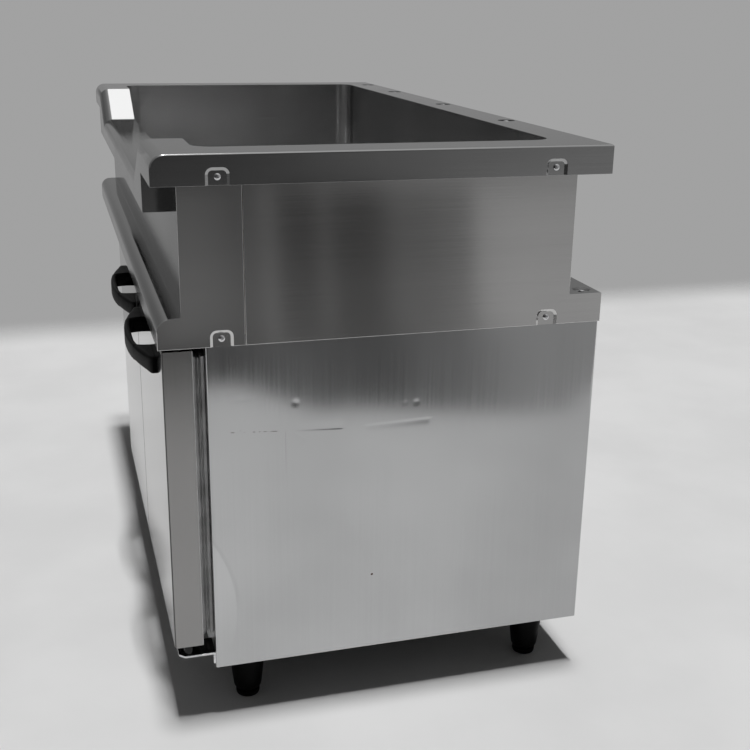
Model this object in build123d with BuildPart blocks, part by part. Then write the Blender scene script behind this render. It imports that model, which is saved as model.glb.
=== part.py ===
"""Two-door refrigerated prep table with a boat-shaped open tub on top, in millimetres.

The origin is on the floor under the middle of the table, +X to the user's right, +Y to the rear, +Z up.
"""

import os
from math import cos, radians, sin

from build123d import *

os.makedirs("parts", exist_ok=True)

# Overall form
WIDTH = 1500.0  # rim, end to end
DEPTH = 750.0  # worktop and rim, nose to rear edge
FOOT_HEIGHT = 97.0  # floor to the cabinet's lower edge
CABINET_HEIGHT = 576.0  # side panel shown under the worktop
WORKTOP_SKIRT = 50.0  # worktop's edge
UPPER_WALL = 202.0  # casing wall shown between worktop and rim
RIM_SKIRT = 48.0  # rim's edge
SHEET = 1.5  # stainless sheet
LAP = 4.5  # each lower panel stands this far in from the one that laps it

# Boat-shaped top
NOSE_OVERHANG = 74.0  # worktop and rim in front of the cabinet
NOSE_RADIUS = 23.0
WALL_SETBACK = 38.0  # casing's front wall behind the nose
REAR_LEDGE = 60.0  # worktop shelf behind the casing
RETURN_STOP = 2.0  # the nose's underside ends this far in front of the cabinet
REAR_RETURN = 16.0  # the rear skirt's bottom return
END_SEAM = 137.0  # nose to the seam between the two end plates
SEAM_GAP = 0.6
RIM_FRONT = 74.0  # rim's top band along the front
RIM_REAR = 73.0
RIM_END = 78.0
CORNER_LENGTH = 200.0  # raised front corner, from the end
SLOPE_RUN = 115.0  # length of the slope down to the dip
FRONT_DROP = 64.0  # depth of the dip
STEP_LENGTH = 156.0  # end of the rim to the dip's deeper skirt
TUB_DEPTH = 213.0  # rim to tub floor
TUB_CORNER = 35.0  # upright corners inside the tub
TUB_COVE = 15.0  # floor corners inside the tub
FOAM_MARGIN = 11.0  # foam inside the side panels
FOAM_TOP_GAP = 8.0  # foam below the dip's sheet

# Pressed screw pockets and their screws
POCKET_WIDTH = 37.0
POCKET_HEIGHT = 27.0
POCKET_CORNER = 11.0
POCKET_SLOPE = 4.5  # run of the pocket's sloped sides
POCKET_INSET = 100.0  # pocket's middle from the nose and from the rear edge
POCKET_SCREW_HEIGHT = 13.0
ROUND_POCKET_RADIUS = 19.0
ROUND_POCKET_INSET = 25.0  # from the rear edge
ROUND_POCKET_DEPTH = 2.5
REAR_POCKETS = (400.0, 770.0, 1140.0)  # right end of the rim to the pockets on its rear band
LAST_REAR_POCKET = 110.0  # left end of the rim to the last one
LEDGE_POCKET_INSET = 28.0  # end of the worktop to the pocket on its rear ledge
SCREW_HEAD_RADIUS = 5.2
SCREW_HEAD_HEIGHT = 2.4
SCREW_CROWN = 1.4  # sloped edge of the pan head
SCREW_CROWN_ANGLE = 50.0
SCREW_SHANK_RADIUS = 2.4
SCREW_LENGTH = 5.5
SCREW_CLEARANCE = 0.2

# Doors
DOOR_THICKNESS = 48.5
DOOR_EDGE_RADIUS = 2.5
DOOR_RAISE = 47.0  # door's lower edge above the cabinet's
DOOR_TOP_GAP = 5.0  # door's upper edge below the worktop
DOOR_GAP = 4.0  # between the two doors
DOOR_SIDE_INSET = 1.0  # hinge edge inside the side panel's face
GASKET_DEPTH = 20.0  # space between door and cabinet
GASKET_INSET = 14.0  # door's edge to the gasket
GASKET_WIDTH = 22.0
GASKET_BASE = 6.0  # foot of the gasket on the door
GASKET_BULB = 6.5  # magnet bulb that meets the frame
GASKET_WAIST = 4.0  # bellows drawn in on each side
GASKET_CORNER = 12.0
GASKET_CLEARANCE = 0.3
OPENING_MARGIN = 2.0  # frame's opening inside the gasket
DYKE_HEIGHT = 11.0  # raised field on the door's inner panel
DYKE_INSET = 8.0  # raised field inside the gasket
DYKE_CORNER = 18.0
DYKE_TAPER = 20.0  # sloped sides of the raised field

# Arch handles
HANDLE_LENGTH = 340.0
HANDLE_HEIGHT = 29.0
HANDLE_REACH = 36.5
HANDLE_END = 6.0  # blunt end on the door
HANDLE_BAR = 11.5  # grip's thickness
HANDLE_GRIP = 184.0  # finger opening on the door's face
HANDLE_GRIP_TAPER = 14.0  # opening shorter by this at each end under the bar
HANDLE_GRIP_CORNER = 9.0
HANDLE_EDGE = 4.0  # rounded edges
HANDLE_FREE_INSET = 12.0  # from the door's free edge
HANDLE_DROP = 61.0  # worktop's lower edge to the handle's middle

# Pivot hinges
PIVOT_INSET = 12.0  # door's hinge edge to the pivot
PIN_RADIUS = 4.0
PIN_REACH = 18.0  # pin inside the door
PIN_CLEARANCE = 0.05
BUSH_RADIUS = 7.0
BUSH_LENGTH = 22.0
BUSH_CLEARANCE = 0.1
COLLAR_RADIUS = 9.0
COLLAR_CLEARANCE = 0.3
BRACKET_THICKNESS = 4.0
BRACKET_WIDTH = 50.0
BRACKET_REACH = 62.0
BRACKET_CHAMFER = 10.0
BRACKET_DROP = 17.5  # door's lower edge to the lower bracket
BRACKET_LEAF = 21.5  # height of the lower leaf on the frame
TOP_BRACKET_THICKNESS = 2.5
TOP_BRACKET_LEAF = 14.0

# Cabinet shell
HEM = 10.0  # returned edges of the side panels
BASE_FLANGE = 18.0  # side panel's flange under the base pan
PANEL_TUCK = 17.0  # side panel carried up behind the worktop's skirt
FRAME_THICKNESS = 2.0
POST_DEPTH = 43.0  # centre post behind the frame
POST_MARGIN = 2.0  # post's sides inside the frame's bar
REAR_GAP = 1.5  # rear panel inside the side panels' rear hems
WALL_FOAM = 42.0  # foam behind the liner
LINER_COVE = 12.0
STYLE_DEPTH = 43.0  # insulated front of the cooler bay
COOLER_BAY = 144.0  # room for the evaporator beside the left door's opening
MACHINE_FRAME = 16.0  # frame's bar around the machine compartment's opening
VENT_LENGTH = 130.0
VENT_HEIGHT = 7.0
VENT_PITCH = 22.0
VENT_ROWS = 16
VENT_COLUMN_PITCH = 160.0
VENT_BASE = 120.0  # cabinet's lower edge to the lowest vent

# Feet
FOOT_TOP_RADIUS = 32.0
FOOT_LOW_RADIUS = 24.0
FOOT_INSET_END = 60.0  # side panel's face to the foot's middle
FOOT_INSET_FRONT = 63.0
FOOT_INSET_REAR = 74.0
GLIDE_RADIUS = 21.0
GLIDE_HEIGHT = 15.5
GLIDE_EDGE = 6.0
GLIDE_NUT = 4.5  # height of the spanner flats on top of the glide
STEM_RADIUS = 9.0
STEM_LENGTH = 48.0
STEM_CLEARANCE = 0.3

# Shelves
SHELF_HEIGHT = 308.0  # cabinet's lower edge to the shelf
SHELF_ROD_RADIUS = 3.0
SHELF_WIRE_RADIUS = 2.0
SHELF_WIRES = 13
SHELF_BARS = 2
SHELF_WELD = 0.6  # wires sink this far into the rods
SHELF_SIDE_GAP = 12.0  # liner's wall to the rod's middle
SHELF_POST_GAP = 10.0  # middle of the centre post to the rod's middle
SHELF_FRONT_GAP = 17.0  # back of the centre post to the front rod's middle
SHELF_REAR_GAP = 16.5
PILASTER_WIDTH = 30.0
PILASTER_DEPTH = 4.0
PILASTER_SLOT = 12.0
PILASTER_PITCH = 30.0
PILASTER_END_GAP = 18.0
PILASTER_INSET = 110.0  # front and rear pilasters on the side walls, from the frame and the rear wall
CLIP_WIDTH = 24.0
CLIP_REACH = 24.0
CLIP_HEIGHT = 16.0
CLIP_THICKNESS = 3.0

# Machine compartment
MACHINE_FRONT_WIDTH = 541.0  # front cover, from the left side panel's face
MACHINE_FRONT_DEPTH = 18.0  # front cover stands this far off the frame
MACHINE_FRONT_GAP = 6.0  # between the cover and the left door
FASCIA_HEIGHT = 85.0
FASCIA_GAP = 2.0
FASCIA_THICKNESS = 3.0
COVER_RAISE = 8.0  # cover's lower edge above the cabinet's
LOUVRE_LENGTH = 150.0
LOUVRE_HEIGHT = 9.0
LOUVRE_OUT = 5.0
LOUVRE_PITCH = 25.0
LOUVRE_ROWS = 14
LOUVRE_COLUMN_PITCH = 170.0
LOUVRE_BASE = 60.0
DISPLAY_WIDTH = 74.0
DISPLAY_HEIGHT = 34.0
DISPLAY_RECESS = 1.5
DISPLAY_INSET = 150.0  # right edge of the fascia to the display's middle
BUTTON_RADIUS = 7.0
BUTTON_PITCH = 24.0
BUTTON_PROUD = 2.0
BUTTON_COLLAR = 2.0
BUTTON_CLEARANCE = 0.3
CONDENSER_WIDTH = 300.0
CONDENSER_HEIGHT = 290.0
CONDENSER_DEPTH = 40.0
CONDENSER_RAISE = 22.0
CONDENSER_INSET = 20.0  # behind the frame
CONDENSER_FINS = 24
FIN_THICKNESS = 2.0
FIN_SPINE = 12.0
COIL_PLATE = 2.0
SHROUD_DEPTH = 12.0
ORIFICE_CLEARANCE = 5.0
FAN_RADIUS = 116.0
FAN_HUB_RADIUS = 28.0
FAN_HUB_LENGTH = 30.0
FAN_BLADES = 5
FAN_SET_BACK = 8.0  # fan behind the shroud
MOTOR_RADIUS = 40.0
MOTOR_LENGTH = 58.0
MOTOR_SET_BACK = 4.0  # motor behind the fan
SHAFT_RADIUS = 4.0
MOTOR_ARM_WIDTH = 14.0
MOTOR_ARM_THICKNESS = 3.0
COMPRESSOR_RADIUS = 82.0
COMPRESSOR_HEIGHT = 190.0
COMPRESSOR_DOME = 45.0
COMPRESSOR_FOOT = 4.0
COMPRESSOR_FOOT_WIDTH = 210.0
COMPRESSOR_FOOT_DEPTH = 150.0
COMPRESSOR_SEAM = 3.0
COMPRESSOR_BACK = 330.0  # compressor's middle in front of the rear panel
MOUNT_RADIUS = 14.0
MOUNT_HEIGHT = 18.0
MOUNT_INSET = 20.0
LINE_RADIUS = 5.0
LINE_BEND = 28.0
LINE_RISE = 120.0
LINE_SPREAD = 30.0  # each line's stub from the compressor's middle
LINE_CLEARANCE = 2.0

# Evaporator
EVAPORATOR_DEPTH = 50.0
EVAPORATOR_LENGTH = 480.0
EVAPORATOR_HEIGHT = 330.0
EVAPORATOR_FINS = 24
EVAPORATOR_RAISE = 80.0
COVER_SETBACK = 14.0  # cover to the left of the left door's opening
COOLER_FAN_RADIUS = 74.0
COOLER_HUB_RADIUS = 20.0
COOLER_HUB_LENGTH = 26.0
COOLER_FAN_BLADES = 5
COOLER_FAN_GAP = 4.0  # fan behind the cover
COOLER_MOTOR_RADIUS = 31.0
COOLER_MOTOR_LENGTH = 36.0
COOLER_MOTOR_GAP = 3.0
RETURN_SLOT_LENGTH = 320.0
RETURN_SLOT_HEIGHT = 14.0
RETURN_SLOTS = 3
RETURN_SLOT_PITCH = 26.0
RETURN_SLOT_BASE = 30.0
GUARD_WIRE = 2.5
GUARD_RINGS = 4
GUARD_DEPTH = 7.0

# Tub drain and cooling coil
DRAIN_INSET_END = 78.0  # tub's left wall to the drain's middle
DRAIN_INSET_REAR = 76.0
STRAINER_RADIUS = 37.0
STRAINER_FLANGE = 2.0
STRAINER_CUP_RADIUS = 24.0
STRAINER_DEPTH = 26.0
STRAINER_WALL = 2.5
STRAINER_HOLE_RADIUS = 4.0
STRAINER_HOLES = 6
STRAINER_HOLE_CIRCLE = 12.0
PIPE_RADIUS = 16.0
PIPE_WALL = 2.5
PIPE_CLEARANCE = 1.0
SPIGOT_RADIUS = 19.0
SPIGOT_LENGTH = 40.0
SPIGOT_DROP = 2.0  # spigot starts this far under the base pan
COIL_RUNS = 6
COIL_RADIUS = 5.0
COIL_INSET = 90.0  # first and last runs inside the tub's walls
COIL_END_INSET = 152.0  # ends of the straight runs inside the tub's walls

# Levels
z_body = FOOT_HEIGHT
z_pan = z_body + SHEET
z_floor = z_pan + SHEET
z_deck = z_body + CABINET_HEIGHT
z_ledge = z_deck + WORKTOP_SKIRT
z_rim_edge = z_ledge + UPPER_WALL
z_rim = z_rim_edge + RIM_SKIRT
z_under_rim = z_rim - SHEET
z_tub = z_rim - TUB_DEPTH
z_door = z_body + DOOR_RAISE
z_door_top = z_deck - DOOR_TOP_GAP

# Depths, from the handles at the front to the worktop's rear edge
door_stand = GASKET_DEPTH + DOOR_THICKNESS
overall_depth = DEPTH - NOSE_OVERHANG + door_stand + HANDLE_REACH
y_rear = overall_depth / 2
y_nose = y_rear - DEPTH
y_front = y_nose + NOSE_OVERHANG
y_wall = y_nose + WALL_SETBACK
y_back_wall = y_rear - REAR_LEDGE
y_seam = y_nose + END_SEAM
y_open = y_nose + RIM_FRONT
y_open_rear = y_rear - RIM_REAR
y_panel_rear = y_rear - REAR_GAP / 2
y_rear_panel = y_panel_rear - SHEET
y_inside_rear = y_rear_panel - SHEET
y_door_back = y_front - GASKET_DEPTH
y_door = y_front - door_stand
y_frame = y_front + FRAME_THICKNESS
y_liner_rear = y_inside_rear - WALL_FOAM - SHEET

# Widths
x_rim = WIDTH / 2
x_end = x_rim - LAP
x_side = x_end - LAP
x_inside = x_side - SHEET
x_open = x_rim - RIM_END
pocket_depth = LAP - SHEET

# Doors share the front beside the machine cover, as name, hinge side, hinge edge and free edge
door_height = z_door_top - z_door
right_hinge_edge = x_side - DOOR_SIDE_INSET
left_hinge_edge = MACHINE_FRONT_WIDTH + MACHINE_FRONT_GAP - x_side
door_width = (right_hinge_edge - left_hinge_edge - DOOR_GAP) / 2
right_free_edge = right_hinge_edge - door_width
left_free_edge = left_hinge_edge + door_width
doors = (
    ("right", 1, right_hinge_edge, right_free_edge),
    ("left", -1, left_hinge_edge, left_free_edge),
)
y_pivot = y_door + DOOR_THICKNESS / 2
opening_inset = GASKET_INSET + GASKET_WIDTH + OPENING_MARGIN
z_opening = z_door + opening_inset
z_opening_top = z_door_top - opening_inset
x_post = (right_free_edge + left_free_edge) / 2

# Refrigerated bay and machine compartment
x_bay_right = right_hinge_edge - opening_inset
x_bay_left = left_hinge_edge + opening_inset
x_cooler = x_bay_left - COOLER_BAY
x_foam_left = x_cooler - SHEET - WALL_FOAM
x_partition = x_foam_left - SHEET
y_style = y_frame + STYLE_DEPTH
x_cover = x_bay_left - COVER_SETBACK
machine_middle = (x_partition - x_inside) / 2
x_condenser = machine_middle - CONDENSER_WIDTH / 2
y_condenser = y_frame + CONDENSER_INSET
z_condenser = z_floor + CONDENSER_RAISE
y_compressor = y_inside_rear - COMPRESSOR_BACK
z_compressor = z_floor + MOUNT_HEIGHT + COMPRESSOR_FOOT
z_compressor_top = z_compressor + COMPRESSOR_HEIGHT
z_suction = z_compressor_top + LINE_RISE + 2 * LINE_BEND
drain_place = (-x_open + DRAIN_INSET_END, y_open_rear - DRAIN_INSET_REAR)
SIDES = (("right", 1), ("left", -1))


def slab(low, high, mode=Mode.ADD):
    """Flat-sided block between two opposite corners."""
    size = [far - near for near, far in zip(low, high)]
    middle = [(near + far) / 2 for near, far in zip(low, high)]
    with Locations(tuple(middle)):
        Box(*size, mode=mode)


def drill(plane, radius, depth):
    """Round hole cut from a plane against its normal."""
    with BuildSketch(plane) as hole:
        Circle(radius)
    extrude(hole.sketch, amount=-depth, mode=Mode.SUBTRACT)


def rod(plane, radius, length):
    """Round bar that grows from a plane along its normal."""
    with BuildSketch(plane) as disc:
        Circle(radius)
    extrude(disc.sketch, amount=length)


def finish(builder, name):
    """Label a piece and write it."""
    builder.part.label = name
    export_step(builder.part, f"parts/{name}.step")


# Pressed pockets: a plane lies on the sheet's outer face with its origin at the pocket's lower edge


def end_plane(sign, x, y, z):
    """Plane on an end face, its x along the depth and its y up."""
    return Plane(origin=(sign * x, y, z), x_dir=(0, sign, 0), z_dir=(sign, 0, 0))


def end_pockets(x, z):
    """Pocket planes on both ends, front and rear."""
    places = (y_nose + POCKET_INSET, y_rear - POCKET_INSET)
    return [end_plane(sign, x, y, z) for _, sign in SIDES for y in places]


def floor_of(plane, depth, height=0.0):
    """Plane on a pocket's floor where its screw seats."""
    return Plane(plane.from_local_coords((0, height, -depth)), plane.x_dir, plane.z_dir)


def arch_outline(plane, grow, foot):
    """Round-topped pocket outline, carried below the skirt's lower edge by foot."""
    with BuildSketch(plane) as outline:
        with Locations((0, -foot)):
            Rectangle(
                POCKET_WIDTH + 2 * grow,
                POCKET_HEIGHT + grow + foot,
                align=(Align.CENTER, Align.MIN),
            )
        fillet(outline.vertices().group_by(Axis.Y)[-1], POCKET_CORNER + grow)
    return outline.sketch


def press_pocket(plane):
    """Joggle an arch-topped pocket with sloped sides and a screw hole into a skirt."""
    extrude(arch_outline(plane, SHEET, 0.0), amount=-LAP)
    mouth = arch_outline(plane, 0.0, POCKET_SLOPE)
    bottom = arch_outline(floor_of(plane, pocket_depth), -POCKET_SLOPE, POCKET_SLOPE)
    loft([mouth, bottom], ruled=True, mode=Mode.SUBTRACT)
    seat = floor_of(plane, pocket_depth, POCKET_SCREW_HEIGHT)
    drill(seat, SCREW_SHANK_RADIUS + SCREW_CLEARANCE, SHEET)


def press_round_pocket(plane):
    """Dish a round pocket with sloped sides and a screw hole into a flat band."""
    seat = floor_of(plane, ROUND_POCKET_DEPTH)
    rod(plane, ROUND_POCKET_RADIUS, -(ROUND_POCKET_DEPTH + SHEET))
    with BuildSketch(plane) as mouth:
        Circle(ROUND_POCKET_RADIUS - SHEET)
    with BuildSketch(seat) as bottom:
        Circle(ROUND_POCKET_RADIUS - SHEET - POCKET_SLOPE)
    loft([mouth.sketch, bottom.sketch], ruled=True, mode=Mode.SUBTRACT)
    drill(seat, SCREW_SHANK_RADIUS + SCREW_CLEARANCE, SHEET)


rim_pockets = end_pockets(x_rim, z_rim_edge)
skirt_pockets = end_pockets(x_end, z_deck)
rim_band_pockets = [
    Plane((x_rim - place, y_rear - ROUND_POCKET_INSET, z_rim))
    for place in (*REAR_POCKETS, WIDTH - LAST_REAR_POCKET)
]
ledge_pockets = [
    Plane((sign * (x_end - LEDGE_POCKET_INSET), y_rear - ROUND_POCKET_INSET, z_ledge)) for _, sign in SIDES
]
arch_seats = [floor_of(p, pocket_depth, POCKET_SCREW_HEIGHT) for p in rim_pockets + skirt_pockets]
round_seats = [floor_of(p, ROUND_POCKET_DEPTH) for p in rim_band_pockets + ledge_pockets]


# Tub rim: folded cap around the tub, its front dipped between two raised corners


def cut_dip(top, front, rear):
    """Cut away what stands above the dipped front, for a piece whose raised top is at the given level."""
    x_top = x_rim - CORNER_LENGTH
    x_low = x_top - SLOPE_RUN
    with BuildSketch(Plane.XZ.offset(-front)) as dip:
        with BuildLine():
            Polyline(
                (-x_top, top + RIM_SKIRT),
                (-x_top, top),
                (-x_low, top - FRONT_DROP),
                (x_low, top - FRONT_DROP),
                (x_top, top),
                (x_top, top + RIM_SKIRT),
                close=True,
            )
        make_face()
    extrude(dip.sketch, amount=-(rear - front), mode=Mode.SUBTRACT)


def rim_blank(inset, reach):
    """Body inside the rim's outer faces, drawn in by inset, its lower edges carried further down by reach."""
    front = y_nose + inset
    low = z_rim_edge - reach
    x_step = x_rim - STEP_LENGTH - inset
    with BuildPart() as blank:
        slab((inset - x_rim, front, low), (x_rim - inset, y_rear - inset, z_rim - inset))
        slab((-x_step, front, low - FRONT_DROP), (x_step, y_open, z_rim_edge))
        cut_dip(z_rim - inset, front, y_open)
        upward = blank.faces().filter_by(lambda face: face.normal_at().Z > 0.3)
        nose = upward.edges().filter_by(lambda edge: abs(edge.center().Y - front) < SHEET / 2)
        fillet(nose, NOSE_RADIUS - inset)
    return blank.part


with BuildPart() as tub_rim:
    add(rim_blank(0.0, 0.0))
    add(rim_blank(SHEET, RIM_SKIRT), mode=Mode.SUBTRACT)
    with BuildSketch(Plane.XY.offset(z_rim)):
        with Locations((0, (y_open + y_open_rear) / 2)):
            RectangleRounded(2 * x_open, y_open_rear - y_open, TUB_CORNER)
    extrude(amount=-RIM_SKIRT, mode=Mode.SUBTRACT)
    for _, sign in SIDES:
        step = sorted((sign * (x_rim - STEP_LENGTH - SHEET), sign * (x_rim - STEP_LENGTH)))
        slab((step[0], y_wall, z_rim_edge - FRONT_DROP), (step[1], y_open, z_rim_edge), Mode.SUBTRACT)
        slab((step[0], y_nose, z_rim_edge - FRONT_DROP), (step[1], y_wall, z_rim_edge))
    for pocket in rim_pockets:
        press_pocket(pocket)
    for pocket in rim_band_pockets:
        press_round_pocket(pocket)
finish(tub_rim, "tub_rim")


# Tub basin: welded under the rim's inner edge


def basin_blank(grow):
    """Body of the basin's inside, grown by the sheet for its outside."""
    with BuildPart() as blank:
        with BuildSketch(Plane.XY.offset(z_tub - grow)):
            with Locations((0, (y_open + y_open_rear) / 2)):
                RectangleRounded(
                    2 * (x_open + grow), y_open_rear - y_open + 2 * grow, TUB_CORNER + grow
                )
        extrude(amount=z_under_rim - z_tub + grow)
        fillet(blank.faces().sort_by(Axis.Z)[0].edges(), TUB_COVE + grow)
    return blank.part


with BuildPart() as tub_basin:
    add(basin_blank(SHEET))
    add(basin_blank(0.0), mode=Mode.SUBTRACT)
    cut_dip(z_under_rim, y_open - 2 * SHEET, y_open + SHEET)
    drill(Plane((*drain_place, z_tub)), STRAINER_CUP_RADIUS + PIPE_CLEARANCE, SHEET)
finish(tub_basin, "tub_basin")


# Worktop front: rounded nose, ledge and the casing's front wall, folded from one sheet

with BuildPart() as worktop_front:
    with BuildSketch(Plane.YZ.offset(SHEET - x_end)) as profile:
        with BuildLine():
            Polyline(
                (y_front - RETURN_STOP, z_deck),
                (y_nose, z_deck),
                (y_nose, z_ledge),
                (y_wall, z_ledge),
                (y_wall, z_under_rim),
                (y_wall + SHEET, z_under_rim),
                (y_wall + SHEET, z_ledge - SHEET),
                (y_nose + SHEET, z_ledge - SHEET),
                (y_nose + SHEET, z_deck + SHEET),
                (y_front - RETURN_STOP, z_deck + SHEET),
                close=True,
            )
        make_face()
        fillet(profile.vertices().sort_by_distance((y_nose, z_ledge, 0))[0], NOSE_RADIUS)
        inner_corner = (y_nose + SHEET, z_ledge - SHEET, 0)
        fillet(profile.vertices().sort_by_distance(inner_corner)[0], NOSE_RADIUS - SHEET)
    extrude(amount=2 * (x_end - SHEET))
    cut_dip(z_under_rim, y_wall - SHEET, y_wall + 2 * SHEET)
finish(worktop_front, "worktop_front")


# Worktop rear: the casing's rear wall, ledge and rear skirt

with BuildPart() as worktop_rear:
    with BuildSketch(Plane.YZ.offset(SHEET - x_end)):
        with BuildLine():
            Polyline(
                (y_back_wall, z_under_rim),
                (y_back_wall, z_ledge),
                (y_rear, z_ledge),
                (y_rear, z_deck),
                (y_rear - REAR_RETURN, z_deck),
                (y_rear - REAR_RETURN, z_deck + SHEET),
                (y_rear - SHEET, z_deck + SHEET),
                (y_rear - SHEET, z_ledge - SHEET),
                (y_back_wall - SHEET, z_ledge - SHEET),
                (y_back_wall - SHEET, z_under_rim),
                close=True,
            )
        make_face()
    extrude(amount=2 * (x_end - SHEET))
    for pocket in ledge_pockets:
        press_round_pocket(pocket)
finish(worktop_rear, "worktop_rear")


# End plates: two sheets close each end of the casing and worktop, with an upright seam

with BuildPart() as front_end_plates:
    for _, sign in SIDES:
        with BuildSketch(Plane.YZ.offset(min(sign * x_end, sign * (x_end - SHEET)))) as outline:
            with BuildLine():
                Polyline(
                    (y_nose, z_deck),
                    (y_nose, z_ledge),
                    (y_wall, z_ledge),
                    (y_wall, z_under_rim),
                    (y_seam, z_under_rim),
                    (y_seam, z_deck),
                    close=True,
                )
            make_face()
            fillet(outline.vertices().sort_by_distance((y_nose, z_ledge, 0))[0], NOSE_RADIUS)
        extrude(amount=SHEET)
    for pocket in skirt_pockets:
        if pocket.origin.Y < y_seam:
            press_pocket(pocket)
    for seat in arch_seats[: len(rim_pockets)]:
        if seat.origin.Y < y_seam:
            drill(floor_of(seat, SHEET), SCREW_SHANK_RADIUS + SCREW_CLEARANCE, SHEET)
finish(front_end_plates, "front_end_plates")

with BuildPart() as rear_end_plates:
    for _, sign in SIDES:
        with BuildSketch(Plane.YZ.offset(min(sign * x_end, sign * (x_end - SHEET)))):
            with BuildLine():
                Polyline(
                    (y_seam + SEAM_GAP, z_deck),
                    (y_seam + SEAM_GAP, z_under_rim),
                    (y_back_wall, z_under_rim),
                    (y_back_wall, z_ledge),
                    (y_rear, z_ledge),
                    (y_rear, z_deck),
                    close=True,
                )
            make_face()
        extrude(amount=SHEET)
    for pocket in skirt_pockets:
        if pocket.origin.Y > y_seam:
            press_pocket(pocket)
    for seat in arch_seats[: len(rim_pockets)]:
        if seat.origin.Y > y_seam:
            drill(floor_of(seat, SHEET), SCREW_SHANK_RADIUS + SCREW_CLEARANCE, SHEET)
finish(rear_end_plates, "rear_end_plates")


# Pan head screws in the pockets

with BuildPart() as pocket_screws:
    for seat in arch_seats + round_seats:
        rod(seat, SCREW_HEAD_RADIUS, SCREW_HEAD_HEIGHT - SCREW_CROWN)
        with BuildSketch(seat.offset(SCREW_HEAD_HEIGHT - SCREW_CROWN)):
            Circle(SCREW_HEAD_RADIUS)
        extrude(amount=SCREW_CROWN, taper=SCREW_CROWN_ANGLE)
        rod(seat, SCREW_SHANK_RADIUS, -SCREW_LENGTH)
finish(pocket_screws, "pocket_screws")


# Cooling coil: one copper tube under the tub's floor


x_coil = x_open - COIL_END_INSET
coil_pitch = (y_open_rear - y_open - 2 * COIL_INSET) / (COIL_RUNS - 1)


def coil_place(run):
    """Depth of one straight run of the coil."""
    return y_open + COIL_INSET + run * coil_pitch


with BuildPart() as tub_cooling_coil:
    z_coil = z_tub - SHEET - COIL_RADIUS
    with BuildLine() as route:
        for run in range(COIL_RUNS):
            way = 1 if run % 2 == 0 else -1
            near = (-way * x_coil, coil_place(run), z_coil)
            far = (way * x_coil, coil_place(run), z_coil)
            Line(near, far)
            if run < COIL_RUNS - 1:
                bend = (way * (x_coil + coil_pitch / 2), coil_place(run + 0.5), z_coil)
                ThreePointArc(far, bend, (far[0], coil_place(run + 1), z_coil))
    with BuildSketch(Plane((-x_coil, coil_place(0), z_coil), x_dir=(0, 1, 0), z_dir=(1, 0, 0))):
        Circle(COIL_RADIUS)
    sweep(path=route.wire())
finish(tub_cooling_coil, "tub_cooling_coil")


# Foam of the worktop and around the tub

x_foam = x_side - FOAM_MARGIN
z_foam = z_deck + SHEET
with BuildPart() as top_insulation:
    slab(
        (-x_foam, y_nose + NOSE_RADIUS + SHEET, z_foam),
        (x_foam, y_rear - REAR_RETURN, z_ledge - SHEET),
    )
    slab(
        (-x_foam, y_wall + SHEET, z_ledge - SHEET),
        (x_foam, y_back_wall - SHEET, z_under_rim - FRONT_DROP - FOAM_TOP_GAP),
    )
    add(basin_blank(SHEET), mode=Mode.SUBTRACT)
    coil_low = (-(x_coil + coil_pitch), coil_place(-0.5))
    coil_high = (x_coil + coil_pitch, coil_place(COIL_RUNS - 0.5))
    slab((*coil_low, z_tub - SHEET - 2 * COIL_RADIUS), (*coil_high, z_tub), Mode.SUBTRACT)
    drill(Plane((*drain_place, z_tub)), STRAINER_CUP_RADIUS + PIPE_CLEARANCE, z_tub - z_deck)
    for pocket in ledge_pockets:
        drill(pocket, ROUND_POCKET_RADIUS, ROUND_POCKET_DEPTH + SHEET)
        drill(floor_of(pocket, ROUND_POCKET_DEPTH), SCREW_SHANK_RADIUS + SCREW_CLEARANCE, SCREW_LENGTH)
finish(top_insulation, "top_insulation")


# Drain: strainer cup in the tub's floor and the pipe down through the machine compartment

with BuildPart() as drain_strainer:
    rod(Plane((*drain_place, z_tub)), STRAINER_RADIUS, STRAINER_FLANGE)
    rod(Plane((*drain_place, z_tub)), STRAINER_CUP_RADIUS, -STRAINER_DEPTH)
    cup_radius = STRAINER_CUP_RADIUS - STRAINER_WALL
    drill(Plane((*drain_place, z_tub)), cup_radius, STRAINER_DEPTH - STRAINER_WALL)
    with BuildSketch(Plane((*drain_place, z_tub + STRAINER_FLANGE))):
        Circle(STRAINER_HOLE_RADIUS)
        with PolarLocations(STRAINER_HOLE_CIRCLE, STRAINER_HOLES):
            Circle(STRAINER_HOLE_RADIUS)
    extrude(amount=-STRAINER_FLANGE, mode=Mode.SUBTRACT)
    cup_floor = Plane((*drain_place, z_tub - STRAINER_DEPTH + STRAINER_WALL))
    drill(cup_floor, PIPE_RADIUS - PIPE_WALL, STRAINER_WALL)
finish(drain_strainer, "drain_strainer")

z_pipe_top = z_tub - STRAINER_DEPTH
z_spigot = z_body - SPIGOT_DROP
with BuildPart() as drain_pipe:
    rod(Plane((*drain_place, z_spigot)), PIPE_RADIUS, z_pipe_top - z_spigot)
    rod(Plane((*drain_place, z_spigot)), SPIGOT_RADIUS, -SPIGOT_LENGTH)
    drill(Plane((*drain_place, z_pipe_top)), PIPE_RADIUS - PIPE_WALL, z_pipe_top - z_spigot + SPIGOT_LENGTH)
finish(drain_pipe, "drain_pipe")


# Side panels: one sheet each, hemmed at front and rear, flanged under the base

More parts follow.
